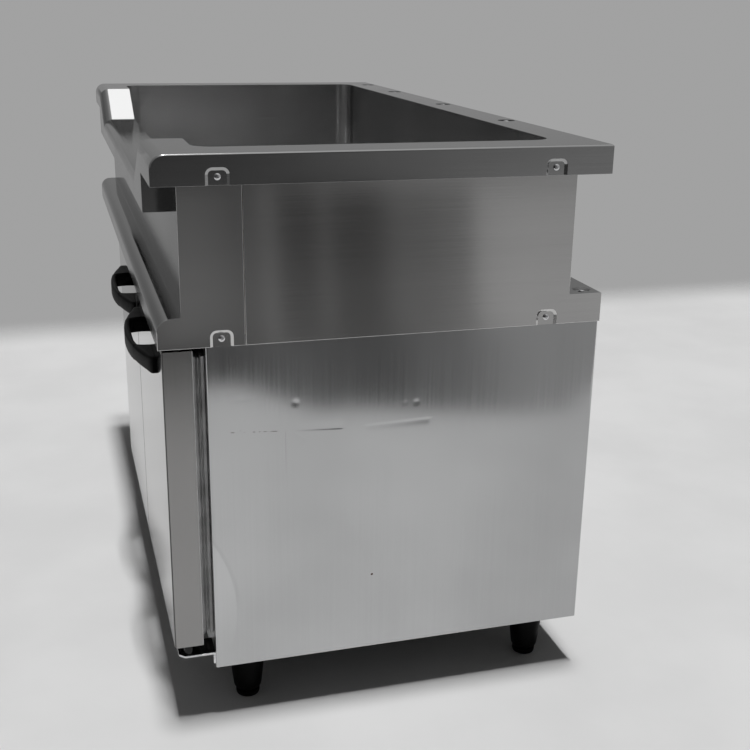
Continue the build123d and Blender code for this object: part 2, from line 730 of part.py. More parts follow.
for side, sign in SIDES:
    with BuildPart() as side_panel:
        with BuildSketch(Plane.XY.offset(z_body)):
            with BuildLine():
                Polyline(
                    (sign * (x_side - HEM), y_front + SHEET),
                    (sign * (x_side - HEM), y_front),
                    (sign * x_side, y_front),
                    (sign * x_side, y_panel_rear),
                    (sign * (x_side - HEM), y_panel_rear),
                    (sign * (x_side - HEM), y_rear_panel),
                    (sign * x_inside, y_rear_panel),
                    (sign * x_inside, y_front + SHEET),
                    close=True,
                )
            make_face()
        extrude(amount=CABINET_HEIGHT)
        flange = sorted((sign * x_side, sign * (x_side - BASE_FLANGE)))
        slab((flange[0], y_front + SHEET, z_body), (flange[1], y_rear_panel, z_pan))
        tuck = sorted((sign * x_side, sign * x_inside))
        slab(
            (tuck[0], y_front + SHEET, z_deck),
            (tuck[1], y_rear - REAR_RETURN, z_deck + PANEL_TUCK),
        )
        for seat in arch_seats[len(rim_pockets) :]:
            if seat.origin.X * sign > 0:
                drill(floor_of(seat, SHEET), SCREW_SHANK_RADIUS + SCREW_CLEARANCE, SHEET)
    finish(side_panel, f"{side}_side_panel")


# Rear panel with vents behind the machine compartment

with BuildPart() as rear_panel:
    slab((-x_inside, y_inside_rear, z_pan), (x_inside, y_rear_panel, z_deck))
    with BuildSketch(Plane.XZ.offset(-y_rear_panel)):
        with Locations((machine_middle, z_body + VENT_BASE + (VENT_ROWS - 1) * VENT_PITCH / 2)):
            with GridLocations(VENT_COLUMN_PITCH, VENT_PITCH, 2, VENT_ROWS):
                SlotOverall(VENT_LENGTH, VENT_HEIGHT)
    extrude(amount=2 * SHEET, both=True, mode=Mode.SUBTRACT)
finish(rear_panel, "rear_panel")


# Base pan

with BuildPart() as base_pan:
    slab((-x_inside, y_frame, z_pan), (x_inside, y_inside_rear, z_floor))
    drill(Plane((*drain_place, z_floor)), PIPE_RADIUS + PIPE_CLEARANCE, SHEET)
finish(base_pan, "base_pan")


# Feet: moulded legs under the base pan and glides that screw out of them

foot_places = {
    "front_right": (x_side - FOOT_INSET_END, y_front + FOOT_INSET_FRONT),
    "front_left": (FOOT_INSET_END - x_side, y_front + FOOT_INSET_FRONT),
    "rear_right": (x_side - FOOT_INSET_END, y_panel_rear - FOOT_INSET_REAR),
    "rear_left": (FOOT_INSET_END - x_side, y_panel_rear - FOOT_INSET_REAR),
}
z_leg = GLIDE_HEIGHT + STEM_CLEARANCE

with BuildPart() as foot_legs:
    for place in foot_places.values():
        with BuildSketch(Plane((*place, z_leg))):
            Circle(FOOT_LOW_RADIUS)
        with BuildSketch(Plane((*place, z_pan))):
            Circle(FOOT_TOP_RADIUS)
        loft()
        drill(Plane((*place, z_leg + STEM_LENGTH)), STEM_RADIUS + STEM_CLEARANCE, STEM_LENGTH)
finish(foot_legs, "foot_legs")

for corner, place in foot_places.items():
    with BuildPart() as glide:
        rod(Plane((*place, 0)), GLIDE_RADIUS, GLIDE_HEIGHT - GLIDE_NUT)
        fillet(glide.faces().sort_by(Axis.Z)[0].edges(), GLIDE_EDGE)
        with BuildSketch(Plane((*place, GLIDE_HEIGHT - GLIDE_NUT))):
            RegularPolygon(GLIDE_RADIUS, 6)
        extrude(amount=GLIDE_NUT)
        rod(Plane((*place, GLIDE_HEIGHT)), STEM_RADIUS, STEM_LENGTH - STEM_CLEARANCE)
    finish(glide, f"{corner}_foot_adjuster")


# Face frame: one sheet with an opening for each door and for the machine compartment, and its centre post

with BuildPart() as front_frame:
    slab((HEM - x_side, y_front, z_pan), (x_side - HEM, y_frame, z_deck))
    for _, sign, hinge_edge, free_edge in doors:
        sides = sorted((hinge_edge - sign * opening_inset, free_edge + sign * opening_inset))
        slab((sides[0], y_front, z_opening), (sides[1], y_frame, z_opening_top), Mode.SUBTRACT)
    slab(
        (HEM + MACHINE_FRAME - x_side, y_front, z_pan + MACHINE_FRAME),
        (x_partition - MACHINE_FRAME, y_frame, z_deck - MACHINE_FRAME),
        Mode.SUBTRACT,
    )
    post_half = opening_inset + DOOR_GAP / 2 - POST_MARGIN
    slab(
        (x_post - post_half, y_frame, z_opening),
        (x_post + post_half, y_frame + POST_DEPTH, z_opening_top),
    )
finish(front_frame, "front_frame")


# Inner liner: folded box with coved floor and rear corners, stepped back beside the left opening


def liner_blank(grow, coved=True):
    """Body of the liner's inside, grown by the sheet for its outside."""
    with BuildPart() as blank:
        slab(
            (x_cooler - grow, y_frame, z_opening - grow),
            (x_bay_right + grow, y_liner_rear + grow, z_opening_top + grow),
        )
        floor_edges = blank.edges().filter_by(Axis.X).group_by(Axis.Z)[0].sort_by(Axis.Y)[-1]
        right_edge = blank.edges().filter_by(Axis.Y).group_by(Axis.Z)[0].sort_by(Axis.X)[-1]
        corner = blank.edges().filter_by(Axis.Z).group_by(Axis.X)[-1].sort_by(Axis.Y)[-1]
        if coved:
            fillet([floor_edges, right_edge, corner], LINER_COVE + grow)
        slab(
            (x_cooler - grow, y_frame, z_opening - grow),
            (x_bay_left - grow, y_style - grow, z_opening_top + grow),
            Mode.SUBTRACT,
        )
    return blank.part


suction_plane = Plane((x_cooler, y_compressor, z_suction), x_dir=(0, 1, 0), z_dir=(1, 0, 0))

with BuildPart() as inner_liner:
    add(liner_blank(SHEET))
    add(liner_blank(0.0), mode=Mode.SUBTRACT)
    drill(suction_plane, LINE_RADIUS + LINE_CLEARANCE, SHEET)
finish(inner_liner, "inner_liner")


# Foam of the cabinet, between liner and shell, its corners cut square behind the liner's coves

with BuildPart() as insulation_core:
    slab((x_foam_left, y_frame, z_floor), (x_inside, y_inside_rear, z_deck))
    add(liner_blank(SHEET, coved=False), mode=Mode.SUBTRACT)
    drill(suction_plane, LINE_RADIUS + LINE_CLEARANCE, SHEET + WALL_FOAM)
finish(insulation_core, "insulation_core")


# Partition sheet between foam and machine compartment

with BuildPart() as partition_panel:
    slab((x_partition, y_frame, z_floor), (x_foam_left, y_inside_rear, z_deck))
    drill(floor_of(suction_plane, SHEET + WALL_FOAM), LINE_RADIUS + LINE_CLEARANCE, SHEET)
finish(partition_panel, "partition_panel")


# Doors: skin, foam, inner panel, gasket, bushes and arch handle

for side, sign, hinge_edge, free_edge in doors:
    x_low = min(hinge_edge, free_edge)
    x_high = max(hinge_edge, free_edge)
    x_middle = (x_low + x_high) / 2
    z_middle = (z_door + z_door_top) / 2
    x_pivot = hinge_edge - sign * PIVOT_INSET
    y_liner_back = y_door_back - SHEET
    top_bush = Plane((x_pivot, y_pivot, z_door_top))
    low_bush = Plane((x_pivot, y_pivot, z_door + BUSH_LENGTH))

    with BuildPart() as door_skin:
        slab((x_low, y_door, z_door), (x_high, y_liner_back, z_door_top))
        fillet(door_skin.faces().sort_by(Axis.Y)[0].edges(), DOOR_EDGE_RADIUS)
        slab(
            (x_low + SHEET, y_door + SHEET, z_door + SHEET),
            (x_high - SHEET, y_liner_back, z_door_top - SHEET),
            Mode.SUBTRACT,
        )
        for bush in (top_bush, low_bush):
            drill(bush, BUSH_RADIUS + BUSH_CLEARANCE, BUSH_LENGTH)
    finish(door_skin, f"{side}_door_skin")

    with BuildPart() as door_core:
        slab(
            (x_low + SHEET, y_door + SHEET, z_door + SHEET),
            (x_high - SHEET, y_liner_back, z_door_top - SHEET),
        )
        for bush in (top_bush, low_bush):
            drill(bush, BUSH_RADIUS + BUSH_CLEARANCE, BUSH_LENGTH)
    finish(door_core, f"{side}_door_core")

    with BuildPart() as door_bushes:
        for bush in (top_bush, low_bush):
            rod(bush, BUSH_RADIUS, -BUSH_LENGTH)
            drill(bush, PIN_RADIUS + PIN_CLEARANCE, BUSH_LENGTH)
    finish(door_bushes, f"{side}_door_bushes")

    back_plane = Plane(origin=(x_middle, y_door_back, z_middle), x_dir=(-1, 0, 0), z_dir=(0, 1, 0))
    ring_width = door_width - 2 * GASKET_INSET
    ring_height = door_height - 2 * GASKET_INSET
    field_inset = 2 * (GASKET_WIDTH + DYKE_INSET)

    with BuildPart() as door_liner:
        slab((x_low, y_liner_back, z_door), (x_high, y_door_back, z_door_top))
        with BuildSketch(back_plane):
            RectangleRounded(ring_width - field_inset, ring_height - field_inset, DYKE_CORNER)
        extrude(amount=DYKE_HEIGHT, taper=DYKE_TAPER)
    finish(door_liner, f"{side}_door_liner")

    with BuildPart() as door_gasket:
        waist = GASKET_DEPTH - GASKET_BASE - GASKET_BULB - GASKET_CLEARANCE
        height = 0.0
        for thickness, draw_in in ((GASKET_BASE, 0.0), (waist, GASKET_WAIST), (GASKET_BULB, 0.0)):
            with BuildSketch(back_plane.offset(height)):
                RectangleRounded(
                    ring_width - 2 * draw_in, ring_height - 2 * draw_in, GASKET_CORNER
                )
                RectangleRounded(
                    ring_width - 2 * (GASKET_WIDTH - draw_in),
                    ring_height - 2 * (GASKET_WIDTH - draw_in),
                    GASKET_CORNER / 2,
                    mode=Mode.SUBTRACT,
                )
            extrude(amount=thickness)
            height += thickness
    finish(door_gasket, f"{side}_door_gasket")

    handle_middle = free_edge + sign * (HANDLE_FREE_INSET + HANDLE_LENGTH / 2)
    z_handle = z_deck - HANDLE_DROP - HANDLE_HEIGHT / 2
    handle_plane = Plane(origin=(handle_middle, y_door, z_handle), x_dir=(-1, 0, 0), z_dir=(0, 0, 1))
    with BuildPart() as door_handle:
        with BuildSketch(handle_plane):
            with BuildLine():
                left_end = (-HANDLE_LENGTH / 2, HANDLE_END)
                right_end = (HANDLE_LENGTH / 2, HANDLE_END)
                ThreePointArc(left_end, (0, HANDLE_REACH), right_end)
                Polyline(right_end, (HANDLE_LENGTH / 2, 0), (-HANDLE_LENGTH / 2, 0), left_end)
            make_face()
        extrude(amount=HANDLE_HEIGHT)
        fillet(door_handle.edges().filter_by(GeomType.CIRCLE), HANDLE_EDGE)
        with BuildSketch(handle_plane) as grip:
            grip_half = HANDLE_GRIP / 2
            with BuildLine():
                Polyline(
                    (-grip_half, 0),
                    (HANDLE_GRIP_TAPER - grip_half, HANDLE_REACH - HANDLE_BAR),
                    (grip_half - HANDLE_GRIP_TAPER, HANDLE_REACH - HANDLE_BAR),
                    (grip_half, 0),
                    close=True,
                )
            make_face()
            fillet(grip.vertices().group_by(Axis.Y)[-1], HANDLE_GRIP_CORNER)
        extrude(amount=HANDLE_HEIGHT, mode=Mode.SUBTRACT)
    finish(door_handle, f"{side}_door_handle")

    bracket_middle = hinge_edge - sign * BRACKET_WIDTH / 2
    z_bracket = z_door - BRACKET_DROP
    with BuildPart() as hinge_brackets:
        for level, thickness in ((z_bracket, BRACKET_THICKNESS), (z_deck, TOP_BRACKET_THICKNESS)):
            with BuildSketch(Plane.XY.offset(level)) as leaf:
                with Locations((bracket_middle, y_front - BRACKET_REACH / 2)):
                    Rectangle(BRACKET_WIDTH, BRACKET_REACH)
                chamfer(leaf.vertices().group_by(Axis.Y)[0], BRACKET_CHAMFER)
            extrude(amount=-thickness)
        bracket_sides = sorted((hinge_edge, hinge_edge - sign * BRACKET_WIDTH))
        slab(
            (bracket_sides[0], y_front - BRACKET_THICKNESS, z_bracket - BRACKET_LEAF),
            (bracket_sides[1], y_front, z_bracket),
        )
        slab(
            (bracket_sides[0], y_front - TOP_BRACKET_THICKNESS, z_deck - TOP_BRACKET_LEAF),
            (bracket_sides[1], y_front, z_deck),
        )
        rod(Plane((x_pivot, y_pivot, z_bracket)), COLLAR_RADIUS, BRACKET_DROP - COLLAR_CLEARANCE)
        rod(Plane((x_pivot, y_pivot, z_bracket)), PIN_RADIUS, BRACKET_DROP + PIN_REACH)
        rod(Plane((x_pivot, y_pivot, z_deck)), PIN_RADIUS, -(DOOR_TOP_GAP + PIN_REACH))
    finish(hinge_brackets, f"{side}_hinge_brackets")


# Machine front: louvred cover and the control fascia above it

x_cover_left = -x_side
x_cover_right = left_hinge_edge - MACHINE_FRONT_GAP
y_machine = y_front - MACHINE_FRONT_DEPTH
z_fascia_top = z_door_top
z_fascia = z_fascia_top - FASCIA_HEIGHT
z_machine = z_body + COVER_RAISE
z_machine_top = z_fascia - FASCIA_GAP

with BuildPart() as machine_front_panel:
    slab((x_cover_left, y_machine, z_machine), (x_cover_right, y_front, z_machine_top))
    fillet(machine_front_panel.faces().sort_by(Axis.Y)[0].edges(), DOOR_EDGE_RADIUS)
    slab(
        (x_cover_left + SHEET, y_machine + SHEET, z_machine + SHEET),
        (x_cover_right - SHEET, y_front, z_machine_top - SHEET),
        Mode.SUBTRACT,
    )
    cover_middle = (x_cover_left + x_cover_right) / 2
    louvre_middle = z_machine + LOUVRE_BASE + (LOUVRE_ROWS - 1) * LOUVRE_PITCH / 2
    with BuildSketch(Plane.XZ.offset(-y_machine)):
        with Locations((cover_middle, louvre_middle)):
            with GridLocations(LOUVRE_COLUMN_PITCH, LOUVRE_PITCH, 2, LOUVRE_ROWS):
                Rectangle(LOUVRE_LENGTH, LOUVRE_HEIGHT)
    extrude(amount=-SHEET, mode=Mode.SUBTRACT)
    for row in range(LOUVRE_ROWS):
        z_louvre = z_machine + LOUVRE_BASE + row * LOUVRE_PITCH
        z_hood = z_louvre + LOUVRE_HEIGHT / 2
        for column in (-0.5, 0.5):
            hood_middle = cover_middle + column * LOUVRE_COLUMN_PITCH
            with BuildSketch(Plane.YZ.offset(hood_middle - LOUVRE_LENGTH / 2)):
                with BuildLine():
                    Polyline(
                        (y_machine, z_hood + SHEET),
                        (y_machine - LOUVRE_OUT, z_hood - LOUVRE_HEIGHT),
                        (y_machine - LOUVRE_OUT + SHEET, z_hood - LOUVRE_HEIGHT),
                        (y_machine + SHEET, z_hood),
                        (y_machine + SHEET, z_hood + SHEET),
                        close=True,
                    )
                make_face()
            extrude(amount=LOUVRE_LENGTH)
finish(machine_front_panel, "machine_front_panel")

z_controls = (z_fascia + z_fascia_top) / 2
x_display = x_cover_right - DISPLAY_INSET
display_plane = Plane(origin=(x_display, y_machine, z_controls), x_dir=(1, 0, 0), z_dir=(0, -1, 0))
x_button_first = x_display + DISPLAY_WIDTH / 2 + BUTTON_PITCH
button_places = {
    "set": x_button_first,
    "down": x_button_first + BUTTON_PITCH,
    "up": x_button_first + 2 * BUTTON_PITCH,
}
button_depth = FASCIA_THICKNESS + BUTTON_PROUD

with BuildPart() as control_fascia:
    slab((x_cover_left, y_machine, z_fascia), (x_cover_right, y_front, z_fascia_top))
    fillet(control_fascia.faces().sort_by(Axis.Y)[0].edges(), DOOR_EDGE_RADIUS)
    slab(
        (x_cover_left + FASCIA_THICKNESS, y_machine + FASCIA_THICKNESS, z_fascia + FASCIA_THICKNESS),
        (x_cover_right - FASCIA_THICKNESS, y_front, z_fascia_top - FASCIA_THICKNESS),
        Mode.SUBTRACT,
    )
    with BuildSketch(display_plane):
        Rectangle(DISPLAY_WIDTH, DISPLAY_HEIGHT)
    extrude(amount=-DISPLAY_RECESS, mode=Mode.SUBTRACT)
    for x_button in button_places.values():
        hole = Plane(origin=(x_button, y_machine, z_controls), x_dir=(1, 0, 0), z_dir=(0, -1, 0))
        drill(hole, BUTTON_RADIUS + BUTTON_CLEARANCE, FASCIA_THICKNESS)
finish(control_fascia, "control_fascia")

with BuildPart() as display_window:
    with BuildSketch(display_plane.offset(-DISPLAY_RECESS)):
        Rectangle(DISPLAY_WIDTH, DISPLAY_HEIGHT)
    extrude(amount=DISPLAY_RECESS)
finish(display_window, "display_window")

for name, x_button in button_places.items():
    cap = Plane(origin=(x_button, y_machine - BUTTON_PROUD, z_controls), x_dir=(1, 0, 0), z_dir=(0, -1, 0))
    with BuildPart() as button:
        rod(cap, BUTTON_RADIUS, -(button_depth + BUTTON_CLEARANCE))
        chamfer(button.faces().sort_by(Axis.Y)[0].edges(), BUTTON_PROUD / 4)
        rod(cap.offset(-(button_depth + BUTTON_CLEARANCE)), BUTTON_RADIUS + BUTTON_COLLAR, -BUTTON_COLLAR)
    finish(button, f"{name}_button")


# Fin coils: a comb of fins on a spine of tubes, between two end plates


def fin_comb(plane, length, depth, height, fins):
    """Comb of upright fins along a plane's x, with an end plate at each end."""
    pitch = (length - 2 * COIL_PLATE) / (fins + 1)
    with BuildSketch(plane) as comb:
        Rectangle(length, FIN_SPINE)
        with GridLocations(pitch, 1, fins, 1):
            Rectangle(FIN_THICKNESS, depth)
        with GridLocations(length - COIL_PLATE, 1, 2, 1):
            Rectangle(COIL_PLATE, depth)
    extrude(comb.sketch, amount=height)


with BuildPart() as condenser_coil:
    coil_base = Plane((machine_middle, y_condenser + CONDENSER_DEPTH / 2, z_condenser))
    fin_comb(coil_base, CONDENSER_WIDTH, CONDENSER_DEPTH, CONDENSER_HEIGHT, CONDENSER_FINS)
    for end in (x_condenser, x_condenser + CONDENSER_WIDTH - COIL_PLATE):
        slab(
            (end, y_condenser, z_floor),
            (end + COIL_PLATE, y_condenser + CONDENSER_DEPTH, z_condenser),
        )
finish(condenser_coil, "condenser_coil")

y_shroud = y_condenser + CONDENSER_DEPTH + SHROUD_DEPTH
z_fan = z_condenser + CONDENSER_HEIGHT / 2
fan_axle = Plane(
    origin=(machine_middle, y_shroud + SHEET + FAN_SET_BACK, z_fan), x_dir=(-1, 0, 0), z_dir=(0, 1, 0)
)

with BuildPart() as condenser_shroud:
    slab(
        (x_condenser, y_condenser + CONDENSER_DEPTH, z_condenser),
        (x_condenser + CONDENSER_WIDTH, y_shroud + SHEET, z_condenser + CONDENSER_HEIGHT),
    )
    slab(
        (x_condenser + SHEET, y_condenser + CONDENSER_DEPTH, z_condenser + SHEET),
        (x_condenser + CONDENSER_WIDTH - SHEET, y_shroud, z_condenser + CONDENSER_HEIGHT - SHEET),
        Mode.SUBTRACT,
    )
    drill(fan_axle, FAN_RADIUS + ORIFICE_CLEARANCE, FAN_SET_BACK + SHEET)
finish(condenser_shroud, "condenser_shroud")


def fan(axle, hub_radius, hub_length, tip_radius, blades):
    """Hub with pitched blades that grows from a plane along its normal, bored for the motor's shaft."""
    blade_thickness = 2.0
    root_chord = 0.8 * hub_length
    tip_chord = 1.6 * hub_length
    root_pitch = 50.0
    tip_pitch = 22.0
    middle = axle.origin + axle.z_dir * (hub_length / 2)
    rod(axle, hub_radius, hub_length)
    for blade in range(blades):
        turn = radians(360 * blade / blades)
        outward = axle.x_dir * cos(turn) + axle.y_dir * sin(turn)
        along = axle.y_dir * cos(turn) - axle.x_dir * sin(turn)
        sections = []
        for radius, chord, pitch in (
            (hub_radius - blade_thickness, root_chord, root_pitch),
            (tip_radius, tip_chord, tip_pitch),
        ):
            lean = along * cos(radians(pitch)) + axle.z_dir * sin(radians(pitch))
            with BuildSketch(Plane(middle + outward * radius, x_dir=lean, z_dir=outward)) as section:
                Rectangle(chord, blade_thickness)
            sections.append(section.sketch)
        loft(sections, ruled=True)
    drill(axle.offset(hub_length), SHAFT_RADIUS + PIN_CLEARANCE, hub_length)


def fan_motor(seat, radius, length, shaft, arm_reach, arm_run):
    """Motor can behind a fan, its shaft forward through the hub and four arms to the plate in front."""
    rod(seat, radius, length)
    rod(seat, SHAFT_RADIUS, -shaft)
    strut = seat.offset(length / 2)
    for turn in (45, 135, 225, 315):
        outward = seat.x_dir * cos(radians(turn)) + seat.y_dir * sin(radians(turn))
        arm = Plane(strut.origin, x_dir=outward, z_dir=seat.z_dir)
        with BuildSketch(arm) as spoke:
            with Locations((arm_reach / 2, 0)):
                Rectangle(arm_reach, MOTOR_ARM_WIDTH)
        extrude(spoke.sketch, amount=MOTOR_ARM_THICKNESS)
        with BuildSketch(arm) as leg:
            with Locations((arm_reach - MOTOR_ARM_THICKNESS / 2, 0)):
                Rectangle(MOTOR_ARM_THICKNESS, MOTOR_ARM_WIDTH)
        extrude(leg.sketch, amount=-arm_run)


with BuildPart() as condenser_fan:
    fan(fan_axle, FAN_HUB_RADIUS, FAN_HUB_LENGTH, FAN_RADIUS, FAN_BLADES)
finish(condenser_fan, "condenser_fan")

motor_seat = fan_axle.offset(FAN_HUB_LENGTH + MOTOR_SET_BACK)
motor_run = FAN_SET_BACK + FAN_HUB_LENGTH + MOTOR_SET_BACK + MOTOR_LENGTH / 2
with BuildPart() as condenser_fan_motor:
    fan_motor(
        motor_seat,
        MOTOR_RADIUS,
        MOTOR_LENGTH,
        FAN_HUB_LENGTH + MOTOR_SET_BACK,
        FAN_RADIUS + ORIFICE_CLEARANCE + MOTOR_ARM_WIDTH,
        motor_run,
    )
finish(condenser_fan_motor, "condenser_fan_motor")


# Compressor: welded steel pot on a foot plate, standing on rubber mounts

with BuildPart() as compressor:
    with BuildSketch(Plane.XY.offset(z_compressor - COMPRESSOR_FOOT)):
        with Locations((machine_middle, y_compressor)):
            RectangleRounded(COMPRESSOR_FOOT_WIDTH, COMPRESSOR_FOOT_DEPTH, MOUNT_INSET)
    extrude(amount=COMPRESSOR_FOOT)
    pot = Plane((machine_middle, y_compressor, z_compressor))
    rod(pot, COMPRESSOR_RADIUS, COMPRESSOR_HEIGHT)
    fillet(compressor.faces().sort_by(Axis.Z)[-1].edges(), COMPRESSOR_DOME)
    rod(pot.offset(COMPRESSOR_HEIGHT / 2), COMPRESSOR_RADIUS + COMPRESSOR_SEAM, COMPRESSOR_SEAM)
finish(compressor, "compressor")

with BuildPart() as compressor_mounts:
    with BuildSketch(Plane.XY.offset(z_floor)):
        with Locations((machine_middle, y_compressor)):
            with GridLocations(
                COMPRESSOR_FOOT_WIDTH - 2 * MOUNT_INSET, COMPRESSOR_FOOT_DEPTH - 2 * MOUNT_INSET, 2, 2
            ):
                Circle(MOUNT_RADIUS)
    extrude(amount=MOUNT_HEIGHT)
finish(compressor_mounts, "compressor_mounts")

y_coil_middle = y_condenser + CONDENSER_DEPTH / 2
z_coil_top = z_condenser + CONDENSER_HEIGHT
z_discharge = max(z_compressor_top, z_coil_top) + LINE_BEND + LINE_RADIUS
with BuildPart() as refrigerant_lines:
    x_discharge = machine_middle - LINE_SPREAD
    with BuildLine() as discharge:
        FilletPolyline(
            (x_discharge, y_compressor, z_compressor_top),
            (x_discharge, y_compressor, z_discharge),
            (x_discharge, y_coil_middle, z_discharge),
            (x_discharge, y_coil_middle, z_coil_top),
            radius=LINE_BEND,
        )
    with BuildSketch(Plane((x_discharge, y_compressor, z_compressor_top))):
        Circle(LINE_RADIUS)
    sweep(path=discharge.wire())
    x_suction = machine_middle + LINE_SPREAD
    with BuildLine() as suction:
        FilletPolyline(
            (x_suction, y_compressor, z_compressor_top),
            (x_suction, y_compressor, z_suction),
            (x_cooler, y_compressor, z_suction),
            radius=LINE_BEND,
        )
    with BuildSketch(Plane((x_suction, y_compressor, z_compressor_top))):
        Circle(LINE_RADIUS)
    sweep(path=suction.wire())
finish(refrigerant_lines, "refrigerant_lines")


# Evaporator: coil on the liner's end wall, cover with fan and air slots in front of it

y_bay_middle = (y_style + y_liner_rear) / 2
z_evaporator = z_opening + EVAPORATOR_RAISE
with BuildPart() as evaporator_coil:
    coil_seat = Plane(
        origin=(x_cooler + EVAPORATOR_DEPTH / 2, y_bay_middle, z_evaporator), x_dir=(0, 1, 0), z_dir=(0, 0, 1)
    )
    fin_comb(coil_seat, EVAPORATOR_LENGTH, EVAPORATOR_DEPTH, EVAPORATOR_HEIGHT, EVAPORATOR_FINS)
finish(evaporator_coil, "evaporator_coil")

z_cooler_fan = z_evaporator + EVAPORATOR_HEIGHT / 2
cooler_front = Plane(origin=(x_cover, y_bay_middle, z_cooler_fan), x_dir=(0, 1, 0), z_dir=(1, 0, 0))
cooler_axle = cooler_front.offset(-(SHEET + COOLER_FAN_GAP + COOLER_HUB_LENGTH))

with BuildPart() as evaporator_cover:
    slab((x_cover - SHEET, y_style, z_opening), (x_cover, y_liner_rear, z_opening_top))
    low_rear = evaporator_cover.edges().filter_by(Axis.X).group_by(Axis.Z)[0].sort_by(Axis.Y)[-1]
    fillet(low_rear, LINER_COVE + SHEET)
    drill(cooler_front, COOLER_FAN_RADIUS + ORIFICE_CLEARANCE, SHEET)
    slot_middle = z_opening + RETURN_SLOT_BASE + (RETURN_SLOTS - 1) * RETURN_SLOT_PITCH / 2
    with BuildSketch(cooler_front):
        with Locations((0, slot_middle - z_cooler_fan)):
            with GridLocations(1, RETURN_SLOT_PITCH, 1, RETURN_SLOTS):
                SlotOverall(RETURN_SLOT_LENGTH, RETURN_SLOT_HEIGHT)
    extrude(amount=-SHEET, mode=Mode.SUBTRACT)
finish(evaporator_cover, "evaporator_cover")

with BuildPart() as evaporator_fan:
    fan(cooler_axle, COOLER_HUB_RADIUS, COOLER_HUB_LENGTH, COOLER_FAN_RADIUS, COOLER_FAN_BLADES)
finish(evaporator_fan, "evaporator_fan")

cooler_motor_seat = Plane(
    cooler_axle.offset(-COOLER_MOTOR_GAP).origin, x_dir=cooler_axle.x_dir, z_dir=-cooler_axle.z_dir
)
cooler_motor_run = COOLER_FAN_GAP + COOLER_HUB_LENGTH + COOLER_MOTOR_GAP + COOLER_MOTOR_LENGTH / 2
with BuildPart() as evaporator_fan_motor:
    fan_motor(
        cooler_motor_seat,
        COOLER_MOTOR_RADIUS,
        COOLER_MOTOR_LENGTH,
        COOLER_HUB_LENGTH + COOLER_MOTOR_GAP,
        COOLER_FAN_RADIUS + ORIFICE_CLEARANCE + MOTOR_ARM_WIDTH,
        cooler_motor_run,
    )
finish(evaporator_fan_motor, "evaporator_fan_motor")

with BuildPart() as evaporator_fan_guard:
    guard_radius = COOLER_FAN_RADIUS + ORIFICE_CLEARANCE + GUARD_WIRE
    with BuildSketch(cooler_front.offset(GUARD_DEPTH - GUARD_WIRE)):
        for ring in range(GUARD_RINGS):
            ring_radius = guard_radius * (ring + 1) / GUARD_RINGS
            Circle(ring_radius + GUARD_WIRE / 2)
            Circle(ring_radius - GUARD_WIRE / 2, mode=Mode.SUBTRACT)
            if ring == 0:
                inner_ring = ring_radius
        with PolarLocations(0, 4):
            with Locations(((guard_radius + inner_ring) / 2, 0)):
                Rectangle(guard_radius - inner_ring, GUARD_WIRE)
    extrude(amount=GUARD_WIRE)
    with BuildSketch(cooler_front):
        with PolarLocations(guard_radius, 4):
            Circle(GUARD_WIRE)
    extrude(amount=GUARD_DEPTH)
finish(evaporator_fan_guard, "evaporator_fan_guard")


# Shelf pilasters, their clips and the two wire shelves

z_shelf = z_body + SHELF_HEIGHT
y_post = y_frame + POST_DEPTH
pilaster_low = z_opening + PILASTER_END_GAP
pilaster_high = z_opening_top - PILASTER_END_GAP
y_pilaster = y_frame + PILASTER_INSET
y_pilaster_rear = y_liner_rear - PILASTER_INSET
pilaster_planes = [
    Plane(origin=(x_bay_right, y_pilaster, pilaster_low), x_dir=(0, 1, 0), z_dir=(-1, 0, 0)),
    Plane(origin=(x_bay_right, y_pilaster_rear, pilaster_low), x_dir=(0, 1, 0), z_dir=(-1, 0, 0)),
    Plane(origin=(x_cover, y_pilaster, pilaster_low), x_dir=(0, -1, 0), z_dir=(1, 0, 0)),
    Plane(origin=(x_cover, y_pilaster_rear, pilaster_low), x_dir=(0, -1, 0), z_dir=(1, 0, 0)),
    Plane(origin=(x_post, y_post, pilaster_low), x_dir=(1, 0, 0), z_dir=(0, 1, 0)),
    Plane(origin=(x_post, y_liner_rear, pilaster_low), x_dir=(-1, 0, 0), z_dir=(0, -1, 0)),
]

with BuildPart() as shelf_pilasters:
    for plane in pilaster_planes:
        up = -1 if plane.y_dir.Z < 0 else 1
        length = pilaster_high - pilaster_low
        slots = int(length / PILASTER_PITCH) - 1
        with BuildSketch(plane):
            with Locations((0, up * length / 2)):
                Rectangle(PILASTER_WIDTH, length)
                with GridLocations(1, PILASTER_PITCH, 1, slots):
                    Rectangle(PILASTER_SLOT, PILASTER_SLOT / 2, mode=Mode.SUBTRACT)
        extrude(amount=PILASTER_DEPTH)
finish(shelf_pilasters, "shelf_pilasters")

with BuildPart() as shelf_clips:
    for plane in pilaster_planes:
        up = -1 if plane.y_dir.Z < 0 else 1
        seat = z_shelf - SHELF_ROD_RADIUS - pilaster_low
        with BuildSketch(plane.offset(PILASTER_DEPTH)):
            with Locations((0, up * (seat - CLIP_HEIGHT / 2))):
                Rectangle(CLIP_WIDTH, CLIP_HEIGHT)
        extrude(amount=CLIP_THICKNESS)
        with BuildSketch(plane.offset(PILASTER_DEPTH)):
            with Locations((0, up * (seat - CLIP_THICKNESS / 2))):
                Rectangle(CLIP_WIDTH, CLIP_THICKNESS)
        extrude(amount=CLIP_REACH)
finish(shelf_clips, "shelf_clips")

shelf_spans = {
    "right": (x_post + SHELF_POST_GAP, x_bay_right - SHELF_SIDE_GAP),
    "left": (x_cover + SHELF_SIDE_GAP, x_post - SHELF_POST_GAP),
}
y_shelf = y_post + SHELF_FRONT_GAP
y_shelf_rear = y_liner_rear - SHELF_REAR_GAP

